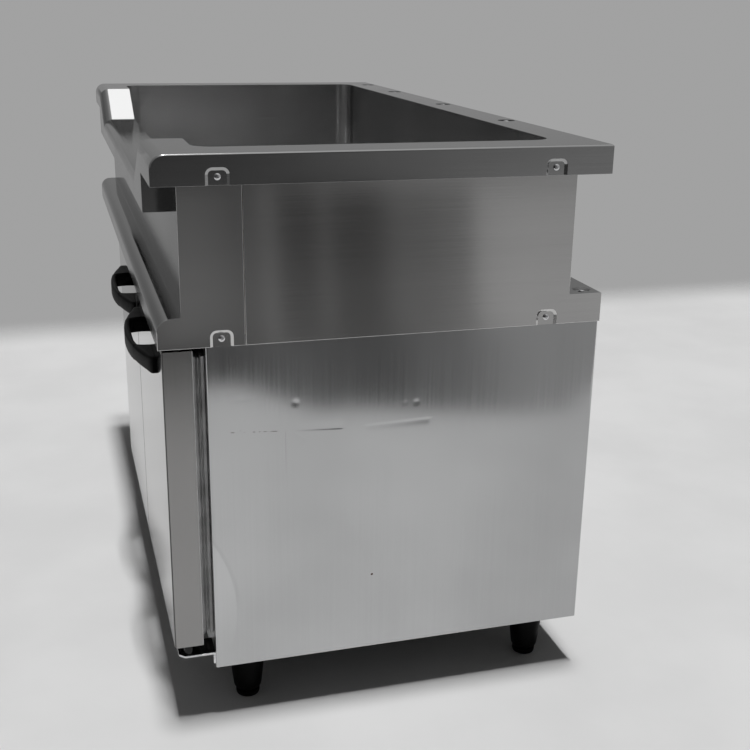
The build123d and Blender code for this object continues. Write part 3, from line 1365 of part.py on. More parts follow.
for side, (x_low, x_high) in shelf_spans.items():
    shelf_width = x_high - x_low
    shelf_depth = y_shelf_rear - y_shelf
    wire_rise = SHELF_ROD_RADIUS + SHELF_WIRE_RADIUS - SHELF_WELD
    across = Plane(origin=(x_low, y_shelf, z_shelf), x_dir=(0, 1, 0), z_dir=(1, 0, 0))
    along = Plane(origin=(x_low, y_shelf, z_shelf), x_dir=(1, 0, 0), z_dir=(0, 1, 0))
    with BuildPart() as shelf:
        with BuildSketch(across):
            with Locations((shelf_depth / 2, 0)):
                with GridLocations(shelf_depth / (SHELF_BARS + 1), 1, SHELF_BARS + 2, 1):
                    Circle(SHELF_ROD_RADIUS)
        extrude(amount=shelf_width)
        with BuildSketch(along):
            with Locations((shelf_width / 2, 0)):
                with GridLocations(shelf_width, 1, 2, 1):
                    Circle(SHELF_ROD_RADIUS)
        extrude(amount=shelf_depth)
        with BuildSketch(along):
            with Locations((shelf_width / 2, -wire_rise)):
                with GridLocations(shelf_width / (SHELF_WIRES + 1), 1, SHELF_WIRES, 1):
                    Circle(SHELF_WIRE_RADIUS)
        extrude(amount=shelf_depth)
    finish(shelf, f"{side}_shelf")
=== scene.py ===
from math import cos, exp, hypot, pi, radians, sin, sqrt

import bmesh
import bpy
from mathutils import Matrix, Vector


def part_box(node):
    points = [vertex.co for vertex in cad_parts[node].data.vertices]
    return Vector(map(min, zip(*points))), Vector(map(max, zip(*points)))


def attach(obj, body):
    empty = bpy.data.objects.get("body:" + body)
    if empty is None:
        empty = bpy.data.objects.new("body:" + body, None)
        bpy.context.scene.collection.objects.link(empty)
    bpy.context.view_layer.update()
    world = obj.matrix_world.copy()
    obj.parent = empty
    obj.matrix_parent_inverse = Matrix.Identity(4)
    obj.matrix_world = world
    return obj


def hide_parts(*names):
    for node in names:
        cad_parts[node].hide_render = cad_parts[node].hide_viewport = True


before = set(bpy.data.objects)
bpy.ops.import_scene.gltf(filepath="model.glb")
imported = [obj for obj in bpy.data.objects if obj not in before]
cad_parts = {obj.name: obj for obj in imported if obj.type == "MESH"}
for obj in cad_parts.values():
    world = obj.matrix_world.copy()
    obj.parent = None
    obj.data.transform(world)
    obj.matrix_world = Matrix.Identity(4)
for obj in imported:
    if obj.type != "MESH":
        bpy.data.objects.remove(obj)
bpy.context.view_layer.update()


# Cabinet shell: base pan, face frame with its centre post, and the vented rear panel.
# All are folded from 1.5 mm stainless sheet and welded at the corners, with a fine brushed grain.
# The folds are eased by the press brake, so no edge is a knife edge.


class Value:
    """One value in a node tree, which takes plain arithmetic."""

    def __init__(self, tree, socket):
        self.tree = tree
        self.socket = socket

    def node(self, kind, settings=None, sockets=None, out=0):
        """Add a node with its settings and then its sockets, and give one of its outputs."""
        made = self.tree.nodes.new(kind)
        for label, setting in (settings or {}).items():
            setattr(made, label, setting)
        for label, given in (sockets or {}).items():
            if isinstance(given, Value):
                self.tree.links.new(given.socket, made.inputs[label])
            else:
                made.inputs[label].default_value = given
        return Value(self.tree, made.outputs[out])

    def maths(self, operation, *terms):
        return self.node("ShaderNodeMath", {"operation": operation}, dict(enumerate(terms)))

    def __add__(self, other):
        return self.maths("ADD", self, other)

    def __radd__(self, other):
        return self.maths("ADD", other, self)

    def __sub__(self, other):
        return self.maths("SUBTRACT", self, other)

    def __rsub__(self, other):
        return self.maths("SUBTRACT", other, self)

    def __mul__(self, other):
        return self.maths("MULTIPLY", self, other)

    def __rmul__(self, other):
        return self.maths("MULTIPLY", other, self)

    def __truediv__(self, other):
        return self.maths("DIVIDE", self, other)

    def __pow__(self, other):
        return self.maths("POWER", self, other)

    def __abs__(self):
        return self.maths("ABSOLUTE", self)

    def between(self, low, high):
        """Smooth step from 0 at low to 1 at high."""
        return self.node(
            "ShaderNodeMapRange",
            {"interpolation_type": "SMOOTHSTEP"},
            {"Value": self, "From Min": low, "From Max": high},
        )

    def noise(self, stretch=(1, 1, 1), scale=1.0, detail=2.0):
        """Noise over this place, stretched along each axis by its own share."""
        mapped = self.node("ShaderNodeMapping", {}, {"Vector": self, "Scale": stretch})
        return mapped.node(
            "ShaderNodeTexNoise", {}, {"Vector": mapped, "Scale": scale, "Detail": detail}
        )

    def shades(self, dark, light):
        """Colour between two shades by this value."""
        return self.node("ShaderNodeMix", {"data_type": "RGBA"}, {0: self, 6: dark, 7: light}, out=2)

    def relief(self, distance, strength=1.0):
        """Surface relief of this height."""
        return self.node(
            "ShaderNodeBump", {}, {"Strength": strength, "Distance": distance, "Height": self}
        )

    def axes(self):
        """The three coordinates of this place."""
        split = self.tree.nodes.new("ShaderNodeSeparateXYZ")
        self.tree.links.new(self.socket, split.inputs[0])
        return [Value(self.tree, socket) for socket in split.outputs]


def new_finish(name, constants):
    """Start a material with its constant values; give it, its shader and its place on the piece."""
    material = bpy.data.materials.new(name)
    material.use_nodes = True
    tree = material.node_tree
    shader = tree.nodes["Principled BSDF"]
    for label, value in constants.items():
        shader.inputs[label].default_value = value
    place = Value(tree, tree.nodes.new("ShaderNodeTexCoord").outputs["Object"])
    return material, shader, place


def feed(shader, values):
    """Link values that vary over the surface to a shader's sockets."""
    for label, value in values.items():
        value.tree.links.new(value.socket, shader.inputs[label])


def grey(level, warmth=0.0):
    """Neutral colour, warmer or cooler by a share."""
    return (level * (1 + warmth), level, level * (1 - warmth), 1.0)


GRAIN_LONG, GRAIN_FINE, GRAIN_BROAD = 4.0, 1100.0, 60.0
# Near black: the grease on the pivot tops, and the painted shade on the door edges.
GREASE_AND_SHADE = grey(0.03)


def brushed_steel(name, level, roughness, grain, bands=0.0, warmth=0.0, glancing=1.0, edge_shade=0.0):
    """Brushed stainless: streaks along the grain, handling clouds and, where asked, painted shade on
    rounded upright edges and on faces that look along x.
    """
    constants = {
        "Metallic": 1.0,
        "Anisotropic": bands,
        "Anisotropic Rotation": 0.25,
        "Specular Tint": grey(glancing),
    }
    material, shader, place = new_finish(name, constants)
    fine = place.noise([GRAIN_LONG if axis in grain else GRAIN_FINE for axis in "xyz"], detail=3.0)
    broad = place.noise([GRAIN_LONG / 3 if axis in grain else GRAIN_BROAD for axis in "xyz"])
    cloud = place.noise(scale=4.5, detail=4.0)
    streak = 0.75 * fine + 0.25 * broad
    tone = streak * 0.6 + cloud * 0.4
    colour = tone.between(0.25, 0.75).shades(grey(level * 0.93, warmth), grey(level * 1.06, warmth))
    shine = roughness * (1 + 0.6 * (fine - 0.5) + 0.7 * (cloud - 0.5))
    # Painted shade: rounded upright edges and faces that look along x are darkened towards near black.
    if edge_shade:
        facing = place.node("ShaderNodeNewGeometry", out="Normal").axes()
        rounded_edge_shade = (abs(facing[0]) * abs(facing[1])).between(0.05, 0.25)
        end = abs(facing[0]).between(0.90, 0.99) * (1 - rounded_edge_shade)
        colour = (rounded_edge_shade * edge_shade + end * 0.32).shades(colour, GREASE_AND_SHADE)
        shine = shine + 0.15 * end
    feed(shader, {"Base Color": colour, "Roughness": shine, "Normal": fine.relief(0.0001, 0.1)})
    return material


def placed(data, name=None):
    """New object in the scene that carries this data, under the data's own name or another."""
    made = bpy.data.objects.new(name or data.name, data)
    bpy.context.scene.collection.objects.link(made)
    return made


def meshed(name, form):
    """Plain mesh of a form, which is used up."""
    mesh = bpy.data.meshes.new(name)
    form.to_mesh(mesh)
    form.free()
    return mesh


def settled(maker):
    """Turn a maker's evaluated shape into a plain mesh, and take the maker away."""
    graph = bpy.context.evaluated_depsgraph_get()
    mesh = bpy.data.meshes.new_from_object(maker.evaluated_get(graph), depsgraph=graph)
    bpy.data.objects.remove(maker)
    return mesh


def rounded(mesh, width, segments, angle):
    """Maker that rounds the edges of a mesh that are sharper than an angle."""
    maker = placed(mesh)
    bevel = maker.modifiers.new("ease", "BEVEL")
    bevel.width = width
    bevel.segments = segments
    bevel.limit_method = "ANGLE"
    bevel.angle_limit = radians(angle)
    return maker


def eased(mesh, ease, segments=2, angle=32.0):
    """Round a mesh's folded edges and let its flat faces keep their own shading."""
    mesh.shade_smooth()
    maker = rounded(mesh, ease, segments, angle)
    flats = maker.modifiers.new("flats", "WEIGHTED_NORMAL")
    flats.mode = "FACE_AREA"
    flats.weight = 50
    return settled(maker)


def folded(node, ease, segments=2, angle=32.0, rolls=()):
    """Merged copy of a sheet solid with its folds eased, and its rolled edges at their own radius."""
    form = bmesh.new()
    form.from_mesh(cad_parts[node].data)
    bmesh.ops.remove_doubles(form, verts=form.verts, dist=1e-5)
    bmesh.ops.dissolve_limit(form, angle_limit=radians(0.5), verts=form.verts, edges=form.edges)
    for radius, picked in rolls:
        sharp = [edge for edge in form.edges if edge.is_manifold and edge.calc_face_angle() > 1.0]
        edges = [edge for edge in sharp if picked(edge)]
        bmesh.ops.bevel(form, geom=edges, offset=radius, segments=4, profile=0.5, affect="EDGES")
    return eased(meshed(node + "_sheet", form), ease, segments, angle)


def fit(name, mesh, finish, slot, *nodes, body="cabinet"):
    """Put a finished mesh on its body, in place of the plain solids that it stands for."""
    mesh.materials.clear()
    mesh.materials.append(finish)
    piece = placed(mesh, name)
    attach(piece, body)
    if nodes:
        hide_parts(*nodes)


def refold(name, node, ease, finish, slot="stainless", body="cabinet", **how):
    """Put a folded copy of one plain solid in its place."""
    fit(name, folded(node, ease, **how), finish, slot, node, body=body)


def dress(finish, *nodes):
    """Give carried-over solids their finish."""
    for node in nodes:
        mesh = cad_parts[node].data
        mesh.materials.clear()
        mesh.materials.append(finish)


shell_steel = brushed_steel("shell_steel", 0.55, 0.34, "xy")
upright_steel = brushed_steel("upright_steel", 0.56, 0.3, "z")
# The base pan is kept very dark and dull so that the floor under the cabinet stays in deep shade.
pan_steel = brushed_steel("pan_steel", 0.12, 0.5, "xy")
dress(pan_steel, "base_pan")
refold("face_frame", "front_frame", 0.0006, upright_steel)
refold("vented_back", "rear_panel", 0.0005, upright_steel)


# Side panels: one dull satin sheet on each side, hemmed at front and rear and flanged under the base.
# The right one has seen use: knocks, two long creases, a bend low in front that is pressed in and also
# painted as shade and reflection, a scratch and rust specks.
# The upper edge tucks up behind the worktop's skirt, where the skirt's screws hold it.

SHEET = 0.0015
SIDE_FACE = 0.741
SIDE_FRONT = -0.2855
SIDE_REAR = 0.38975
SIDE_LOW = 0.097
SIDE_TOP = 0.673
HEM = 0.010
BEND = 0.0022
FLANGE_END = 0.723
TUCK = 0.017
TUCK_REAR = 0.3745
PANEL_STEP = 0.010
CREASED_ACROSS = ((-0.1595, -0.0555, 0.002), (-0.0315, 0.0965, 0.002))
CREASED_LEVELS = ((0.5005, 0.5345, 0.001), (0.5365, 0.5865, 0.002))
CREASE_START, CREASE_FADE = 0.45, 0.006
CREASES = (
    ((-0.1400, 0.5212), (-0.0680, 0.5182), 0.00009, 0.0085, 0.0020),
    ((-0.0180, 0.5172), (0.0835, 0.5202), 0.00013, 0.0020, 0.0078),
    ((-0.1480, 0.5170), (-0.1300, 0.5060), 0.00006, 0.0030, 0.0025),
    ((-0.2800, 0.3190), (-0.2330, 0.1820), 0.00010, 0.0100, 0.0100),
)
KNOCKS = (
    (-0.1426, 0.5685, 0.00014, 0.0050),
    (0.0645, 0.5520, 0.00013, 0.0045),
    (0.0448, 0.5525, 0.00003, 0.0040),
    (-0.2285, 0.5808, 0.00005, 0.0040),
    (0.1900, 0.3300, 0.00030, 0.1100),
    (-0.1000, 0.2400, 0.00020, 0.0900),
)


def dent_depth(y, z):
    """How far the used right panel is pushed in at a place on its face."""
    depth = 0.0
    for (y_a, z_a), (y_b, z_b), deep, above, below in CREASES:
        run = hypot(y_b - y_a, z_b - z_a)
        along = ((y - y_a) * (y_b - y_a) + (z - z_a) * (z_b - z_a)) / run
        across = ((z - z_a) * (y_b - y_a) - (y - y_a) * (z_b - z_a)) / run
        wide = above if across > 0 else below
        past = max(0.0, -along, along - run)
        share = CREASE_START + (1 - CREASE_START) * min(1.0, max(0.0, along / run))
        depth += deep * share * exp(-((across / wide) ** 2) - (past / CREASE_FADE) ** 2)
    for y_a, z_a, deep, wide in KNOCKS:
        depth += deep * exp(-((y - y_a) ** 2 + (z - z_a) ** 2) / wide**2)
    return depth


def steps(low, high, spacing):
    """Evenly spaced places from low to high."""
    count = max(1, round((high - low) / spacing))
    return [low + (high - low) * i / count for i in range(count + 1)]


def box_into(form, low, high):
    """Add a closed block to a form."""
    made = bmesh.ops.create_cube(form, size=1.0)
    for vert in made["verts"]:
        vert.co = Vector(a + (b - a) * (0.5 + c) for a, b, c in zip(low, high, vert.co))


def walled(maker, thickness, offset=-1.0):
    """Give a maker's sheet its thickness and settle it."""
    wall = maker.modifiers.new("wall", "SOLIDIFY")
    wall.thickness = thickness
    wall.offset = offset
    return settled(maker)


def smoothed(mesh, angle=40.0):
    """Shade a mesh smooth, with edges sharper than an angle kept."""
    mesh.shade_smooth()
    mesh.set_sharp_from_angle(angle=radians(angle))
    return mesh


def side_sheet(name, sign, used):
    """Hemmed side panel with its bends, its base flange and its tucked upper edge."""
    across = steps(SIDE_FRONT + 2 * BEND, SIDE_REAR - 2 * BEND, PANEL_STEP)
    levels = steps(SIDE_LOW, SIDE_TOP, PANEL_STEP)
    if used:
        across = sorted(across + [y for zone in CREASED_ACROSS for y in steps(*zone)])
        levels = sorted(levels + [z for zone in CREASED_LEVELS for z in steps(*zone)])
    plan = [(HEM, SIDE_FRONT), (HEM / 2, SIDE_FRONT)]
    arc = [(BEND * cos(turn * pi / 6), BEND * sin(turn * pi / 6)) for turn in range(4)]
    plan += [(BEND - v, SIDE_FRONT + BEND - u) for u, v in arc]
    plan += [(0.0, y) for y in across]
    plan += [(BEND - u, SIDE_REAR - BEND + v) for u, v in arc]
    plan += [(HEM / 2, SIDE_REAR), (HEM, SIDE_REAR)]
    form = bmesh.new()
    rows = []
    for z in levels:
        row = []
        for inset, y in plan:
            push = dent_depth(y, z) if used and inset < BEND else 0.0
            row.append(form.verts.new((sign * (SIDE_FACE - inset - push), y, z)))
        rows.append(row)
    flat = [vert for vert, (inset, y) in zip(rows[-1], plan) if inset == 0.0 and y < TUCK_REAR]
    rows.append(flat)
    rows.append([form.verts.new(vert.co + Vector((0.0, 0.0, TUCK))) for vert in flat])
    for low, high in zip(rows, rows[1:]):
        if high is not flat:
            for a, b, c, d in zip(low, low[1:], high[1:], high):
                form.faces.new((a, b, c, d) if sign > 0 else (d, c, b, a))
    mesh = walled(placed(meshed(name, form)), SHEET)
    form = bmesh.new()
    form.from_mesh(mesh)
    inner = sign * (SIDE_FACE - SHEET)
    box_into(
        form,
        (min(inner, sign * FLANGE_END), SIDE_FRONT + SHEET, SIDE_LOW),
        (max(inner, sign * FLANGE_END), SIDE_REAR - 2 * SHEET, SIDE_LOW + SHEET),
    )
    form.to_mesh(mesh)
    form.free()
    return smoothed(mesh)


RUST = (0.12, 0.085, 0.07, 1.0)
STAIN = (0.47, 0.40, 0.35, 1.0)
# Grey that the used panel's painted shade darkens towards.
PANEL_SHADE_GREY = grey(0.12)


def satin_sheet(name, used):
    """Dull rolled sheet with faint upright streaks; on a used one what wear has left, with painted
    shade beside a low bend and towards the rear.
    """
    constants = {"Metallic": 1.0, "Anisotropic": 0.35, "Anisotropic Rotation": 0.25}
    material, shader, place = new_finish(name, constants)
    streak = place.noise((300.0, 300.0, 2.5), detail=4.0)
    cloud = place.noise((1, 1, 0.6), scale=5.0, detail=5.0)
    tone = (streak * 0.25 + cloud * 0.75).between(0.3, 0.7)
    colour = tone.shades(grey(0.57, -0.006), grey(0.62, -0.006))
    roughness = 0.10 + 0.05 * (streak - 0.5) + 0.06 * (cloud - 0.5)
    if used:
        _, y, z = place.axes()
        breaks = y.node("ShaderNodeTexNoise", {"noise_dimensions": "1D"}, {"W": y, "Scale": 70.0})
        line = abs(z - (0.5270 - 0.058 * (y + 0.2574)))
        reach = y.between(-0.262, -0.250) * (1 - y.between(-0.165, -0.155))
        scratch = (1 - line.between(0.0004, 0.0011)) * reach * breaks.between(0.45, 0.6)
        stain_place = (((y + 0.124) / 0.03) ** 2.0 + ((z - 0.40) / 0.09) ** 2.0) ** 0.5
        stain = (1 - stain_place.between(0.2, 1.0)) * cloud.between(0.45, 0.7)
        spots = 1 - (((y + 0.0093) ** 2.0 + (z - 0.2391) ** 2.0) ** 0.5).between(0.0012, 0.0028)
        upright = (1 - abs(y + 0.1595).between(0.0003, 0.0010)) * z.between(0.42, 0.48)
        upright = upright * (1 - z.between(0.515, 0.530))
        flecks = place.node("ShaderNodeTexVoronoi", {}, {"Vector": place, "Scale": 34.0})
        fleck = (1 - flecks.between(0.02, 0.05)) * cloud.between(0.55, 0.65) * 0.6
        marks = (scratch * 0.55 + spots + fleck + upright * 0.25).between(0.0, 1.0)
        # Painted shade and reflection: the sheet is darkened on the far side of a curve low in front,
        # with a darker line along it, and darkens towards the rear.
        bend = y - (0.9216 * z - 2.262 * z * z - 0.3417)
        flat = (1 - bend.between(-0.001, 0.002)) * z.between(0.10, 0.22)
        crest_shade = (1 - abs(bend - 0.004).between(0.0, 0.006)) * z.between(0.19, 0.24)
        panel_shade = 0.095 * (1 - flat) + crest_shade * 0.06
        colour = (panel_shade + y.between(0.06, 0.36) * 0.14).shades(colour, PANEL_SHADE_GREY)
        colour = (stain * 0.45).shades(colour, STAIN)
        colour = marks.shades(colour, RUST)
        roughness = roughness + 0.25 * marks
    feed(
        shader,
        {"Base Color": colour, "Roughness": roughness, "Normal": streak.relief(0.0001, 0.035)},
    )
    return material


for side, sign in (("right", 1), ("left", -1)):
    mesh = side_sheet(f"{side}_side_sheet", sign, side == "right")
    finish = satin_sheet(f"{side}_satin_sheet", side == "right")
    fit(f"{side}_side_sheet", mesh, finish, "stainless", f"{side}_side_panel")


# Feet: black moulded legs screwed up into the base, with glides that turn on a threaded stem.
# The leg tapers to a rounded lower end, and the glide has six flats for a spanner.

FOOT_PLACES = {
    "front_right": (0.681, -0.2225),
    "front_left": (-0.681, -0.2225),
    "rear_right": (0.681, 0.31575),
    "rear_left": (-0.681, 0.31575),
}
LEG_PROFILE = (
    (0.0, 0.0985), (0.0312, 0.0985), (0.0320, 0.0972), (0.0319, 0.0900), (0.0300, 0.0700),
    (0.0272, 0.0420), (0.0248, 0.0225), (0.0241, 0.0190), (0.0225, 0.0165), (0.0200, 0.0158),
    (0.0093, 0.0158), (0.0093, 0.0638), (0.0, 0.0638),
)
GLIDE_PROFILE = (
    (0.0, 0.0), (0.0150, 0.0), (0.0175, 0.0006), (0.0197, 0.0021), (0.0208, 0.0042),
    (0.0210, 0.0060), (0.0210, 0.0110), (0.0, 0.0110),
)
FLATS_PROFILE = (
    (0.0, 0.0110), (0.0172, 0.0110), (0.0182, 0.0116), (0.0182, 0.0146), (0.0172, 0.0155),
    (0.0, 0.0155),
)
STEM_LOW, STEM_TOP = 0.0150, 0.0620
THREAD_LOW, THREAD_PITCH, THREAD_TURNS = 0.0160, 0.0038, 12
THREAD_CREST, THREAD_ROOT = 0.0090, 0.0083


def skinned(form, rings):
    """Add the faces between each ring and the next, where a ring of one vertex is a tip."""
    count = max(len(ring) for ring in rings)
    for low, high in zip(rings, rings[1:]):
        for i in range(count):
            j = (i + 1) % count
            corners = [low[i % len(low)], low[j % len(low)], high[j % len(high)], high[i % len(high)]]
            form.faces.new(list(dict.fromkeys(corners)))


def turned(form, profile, centre, axis="z", count=40):
    """Add a turned shape to a form, from its outline as radius and height."""
    rings = []
    for radius, height in profile:
        ring = []
        for i in range(count if radius > 0 else 1):
            a = 2 * pi * i / count
            u, v = radius * cos(a), radius * sin(a)
            spot = {"z": (u, v, height), "x": (height, u, v), "-y": (u, -height, v)}[axis]
            ring.append(form.verts.new(Vector(spot) + Vector(centre)))
        rings.append(ring)
    skinned(form, rings)


def closed_mesh(name, form, angle=38.0):
    """Close off a form as a smooth mesh whose faces point outwards."""
    bmesh.ops.recalc_face_normals(form, faces=form.faces)
    return smoothed(meshed(name, form), angle)


def moulded(name, level, roughness, pebble=900.0, gloss=0.4):
    """Moulded plastic or rubber with a fine pebble and rubbed patches."""
    material, shader, place = new_finish(name, {"Specular IOR Level": gloss})
    grain = place.noise(scale=pebble)
    worn = place.noise(scale=22.0, detail=4.0)
    feed(
        shader,
        {
            "Base Color": worn.between(0.35, 0.7).shades(grey(level), grey(level * 1.5)),
            "Roughness": roughness + 0.2 * (worn - 0.5) + 0.08 * (grain - 0.5),
            "Normal": grain.relief(0.0002, 0.3),
        },
    )
    return material


black_moulding = moulded("black_moulding", 0.002, 0.45, gloss=0.05)
legs = bmesh.new()
stem = [(0.0, STEM_LOW)]
for turn in range(THREAD_TURNS):
    level = THREAD_LOW + turn * THREAD_PITCH
    stem += [(THREAD_CREST, level), (THREAD_ROOT, level + THREAD_PITCH / 2)]
stem.append((0.0, STEM_TOP))
for corner, (x, y) in FOOT_PLACES.items():
    spot = (x, y, 0.0)
    turned(legs, LEG_PROFILE, spot)
    glide = bmesh.new()
    turned(glide, GLIDE_PROFILE, spot)
    turned(glide, FLATS_PROFILE, spot, count=6)
    turned(glide, stem, spot, count=24)
    fit(
        f"{corner}_glide",
        closed_mesh(f"{corner}_glide", glide),
        black_moulding,
        "black_plastic",
        f"{corner}_foot_adjuster",
        body=f"{corner}_adjuster",
    )
mesh = closed_mesh("moulded_legs", legs)
fit("moulded_legs", mesh, black_moulding, "black_plastic", "foot_legs")


# Cold bay: coved stainless liner with slotted pilasters, bent clips and two wire shelves.
# The shelves are welded wire, dip coated in pale grey plastic, and rest on the clips.

SHELF_LEVEL = 0.405
SHELF_FRONT = -0.2235
SHELF_REAR = 0.32675
SHELF_SPANS = {"right": (0.283, 0.690), "left": (-0.158, 0.263)}


def new_tree(name, **inputs):
    """Start a Geometry Nodes tree with named inputs of each kind; give it and them as values."""
    tree = bpy.data.node_groups.new(name, "GeometryNodeTree")
    tree.interface.new_socket("Shape", in_out="OUTPUT", socket_type="NodeSocketGeometry")
    for kind, labels in inputs.items():
        for label in labels:
            tree.interface.new_socket(label, in_out="INPUT", socket_type="NodeSocket" + kind)
    source = tree.nodes.new("NodeGroupInput")
    return tree, {socket.name: Value(tree, socket) for socket in source.outputs if socket.name}


def joined(shapes):
    """Join several shapes of a tree."""
    tree = shapes[0].tree
    join = tree.nodes.new("GeometryNodeJoinGeometry")
    for shape in shapes:
        tree.links.new(shape.socket, join.inputs[0])
    return Value(tree, join.outputs[0])


def end_tree(shape, finish, place=(0, 0, 0), turn=(0, 0, 0)):
    """Put a tree's shape in place, realize its instances, give them their material and close it."""
    set_down = {"Geometry": shape, "Translation": place, "Rotation": turn}
    shape = shape.node("GeometryNodeTransform", {}, set_down)
    real = shape.node("GeometryNodeRealizeInstances", {}, {0: shape})
    painted = real.node("GeometryNodeSetMaterial", {}, {"Geometry": real, "Material": finish})
    sink = shape.tree.nodes.new("NodeGroupOutput")
    shape.tree.links.new(painted.socket, sink.inputs[0])


def grown(name, tree, sizes, seed_mesh=None, angle=40.0):
    """Run a tree with its inputs set, and give the plain mesh that it makes."""
    maker = placed(seed_mesh or bpy.data.meshes.new(name))
    works = maker.modifiers.new(name, "NODES")
    works.node_group = tree
    for item in tree.interface.items_tree:
        if item.in_out == "INPUT" and item.name in sizes:
            works[item.identifier] = sizes[item.name]
    return smoothed(settled(maker), angle)


def vector_of(value, x, y, z):
    """Vector from three numbers or values."""
    return value.node("ShaderNodeCombineXYZ", {}, {"X": x, "Y": y, "Z": z})


def circle(value, sides, radius):
    """Ring of straight sides about the origin of a tree."""
    return value.node("GeometryNodeCurvePrimitiveCircle", {}, {"Resolution": sides, "Radius": radius})


def wire(value, start, end, radius, sides=10):
    """Straight round wire between two places of a tree."""
    run = value.node("GeometryNodeCurvePrimitiveLine", {}, {"Start": start, "End": end})
    return value.node(
        "GeometryNodeCurveToMesh",
        {},
        {"Curve": run, "Profile Curve": circle(value, sides, radius), "Fill Caps": True},
    )


def row_of(shape, count, start, offset):
    """Instances of a shape in a straight row."""
    line = shape.node(
        "GeometryNodeMeshLine",
        {"mode": "OFFSET"},
        {"Count": count, "Start Location": start, "Offset": offset},
    )
    return shape.node("GeometryNodeInstanceOnPoints", {}, {"Points": line, "Instance": shape})


rack, given = new_tree(
    "wire_rack",
    Vector=["Corner"],
    Float=["Width", "Depth", "Rod", "Wire", "Rise"],
    Int=["Wires", "Bars"],
    Material=["Coat"],
)
width, depth = given["Width"], given["Depth"]
long_rod = wire(width, (0, 0, 0), vector_of(width, width, 0.0, 0.0), given["Rod"])
end_rod = wire(width, (0, 0, 0), vector_of(width, 0.0, depth, 0.0), given["Rod"])
thin_wire = wire(width, (0, 0, 0), vector_of(width, 0.0, depth, 0.0), given["Wire"], 8)
rod_step = depth / (given["Bars"] - 1.0)
wire_step = width / (given["Wires"] + 1.0)
rack_shape = joined(
    [
        row_of(long_rod, given["Bars"], (0, 0, 0), vector_of(width, 0.0, rod_step, 0.0)),
        row_of(end_rod, 2, (0, 0, 0), vector_of(width, width, 0.0, 0.0)),
        row_of(
            thin_wire,
            given["Wires"],
            vector_of(width, wire_step, 0.0, given["Rise"]),
            vector_of(width, wire_step, 0.0, 0.0),
        ),
    ]
)
end_tree(rack_shape, given["Coat"], given["Corner"])

wire_coat = moulded("wire_coat", 0.42, 0.38, pebble=500.0)
for side, (x_low, x_high) in SHELF_SPANS.items():
    sizes = {
        "Corner": (x_low, SHELF_FRONT, SHELF_LEVEL),
        "Width": x_high - x_low,
        "Depth": SHELF_REAR - SHELF_FRONT,
        "Wires": 13,
        "Bars": 4,
        "Rod": 0.0030,
        "Wire": 0.0020,
        "Rise": 0.0044,
        "Coat": wire_coat,
    }
    mesh = grown(f"{side}_rack", rack, sizes)
    fit(f"{side}_wire_rack", mesh, wire_coat, "coated_wire", f"{side}_shelf")

liner_steel = brushed_steel("liner_steel", 0.57, 0.33, "xy")
dress(liner_steel, "inner_liner")
refold("slotted_pilasters", "shelf_pilasters", 0.0004, upright_steel)
refold("bent_clips", "shelf_clips", 0.0006, upright_steel)


# Cooling: an aluminium fin coil on the liner's end wall, a plastic fan on an enamelled motor,
# a stainless cover with return slots, and a wire guard over the fan.

FIN, FIN_TUBE, FIN_PLATE = 0.0004, 0.0048, 0.0020


def cast_metal(name, colour, dark, roughness, spread=0.15, grease=0.0):
    """Bare metal with a mottled tone, black with grease above a level where one is given."""
    material, shader, place = new_finish(name, {"Metallic": 1.0})
    mottle = place.noise(scale=60.0, detail=5.0)
    tone = mottle.between(0.3, 0.7).shades(dark, colour)
    if grease:
        tone = place.axes()[2].between(grease - 0.0002, grease).shades(tone, GREASE_AND_SHADE)
    feed(
        shader,
        {
            "Base Color": tone,
            "Roughness": roughness + spread * (mottle - 0.5),
            "Normal": mottle.relief(0.0002, 0.15),
        },
    )
    return material


fin_metal = cast_metal("fin_metal", (0.80, 0.81, 0.82, 1), (0.62, 0.63, 0.65, 1), 0.36)
copper = cast_metal("copper_tube", (0.80, 0.42, 0.26, 1), (0.52, 0.24, 0.14, 1), 0.32, 0.25)

finned, given = new_tree(
    "finned_coil",
    Vector=["Corner", "Turn"],
    Float=["Length", "Depth", "Height", "Fin", "Tube", "Plate", "Stand"],
    Int=["Fins", "Rows"],
    Material=["Metal"],
)
length, depth, height = given["Length"], given["Depth"], given["Height"]
fin_size = vector_of(length, given["Fin"], depth, height)
fin = length.node("GeometryNodeMeshCube", {}, {"Size": fin_size})
plate_size = vector_of(length, given["Plate"], depth, height + given["Stand"])
plate = length.node("GeometryNodeMeshCube", {}, {"Size": plate_size})
tube = wire(length, (0, 0, 0), vector_of(length, length, 0.0, 0.0), given["Tube"], 8)
fin_step = length / (given["Fins"] + 1.0)
row_step = height / given["Rows"]
tubes = [
    row_of(
        tube,
        given["Rows"],
        vector_of(length, length * -0.5, depth * share, row_step * 0.5 - height * 0.5),
        vector_of(length, 0.0, 0.0, row_step),
    )
    for share in (-0.25, 0.25)
]
coil_shape = joined(
    [
        row_of(
            fin,
            given["Fins"],
            vector_of(length, fin_step - length * 0.5, 0.0, 0.0),
            vector_of(length, fin_step, 0.0, 0.0),
        ),
        row_of(
            plate,
            2,
            vector_of(length, given["Plate"] * 0.5 - length * 0.5, 0.0, given["Stand"] * -0.5),
            vector_of(length, length - given["Plate"], 0.0, 0.0),
        ),
        *tubes,
    ]
)
end_tree(coil_shape, given["Metal"], given["Corner"], given["Turn"])


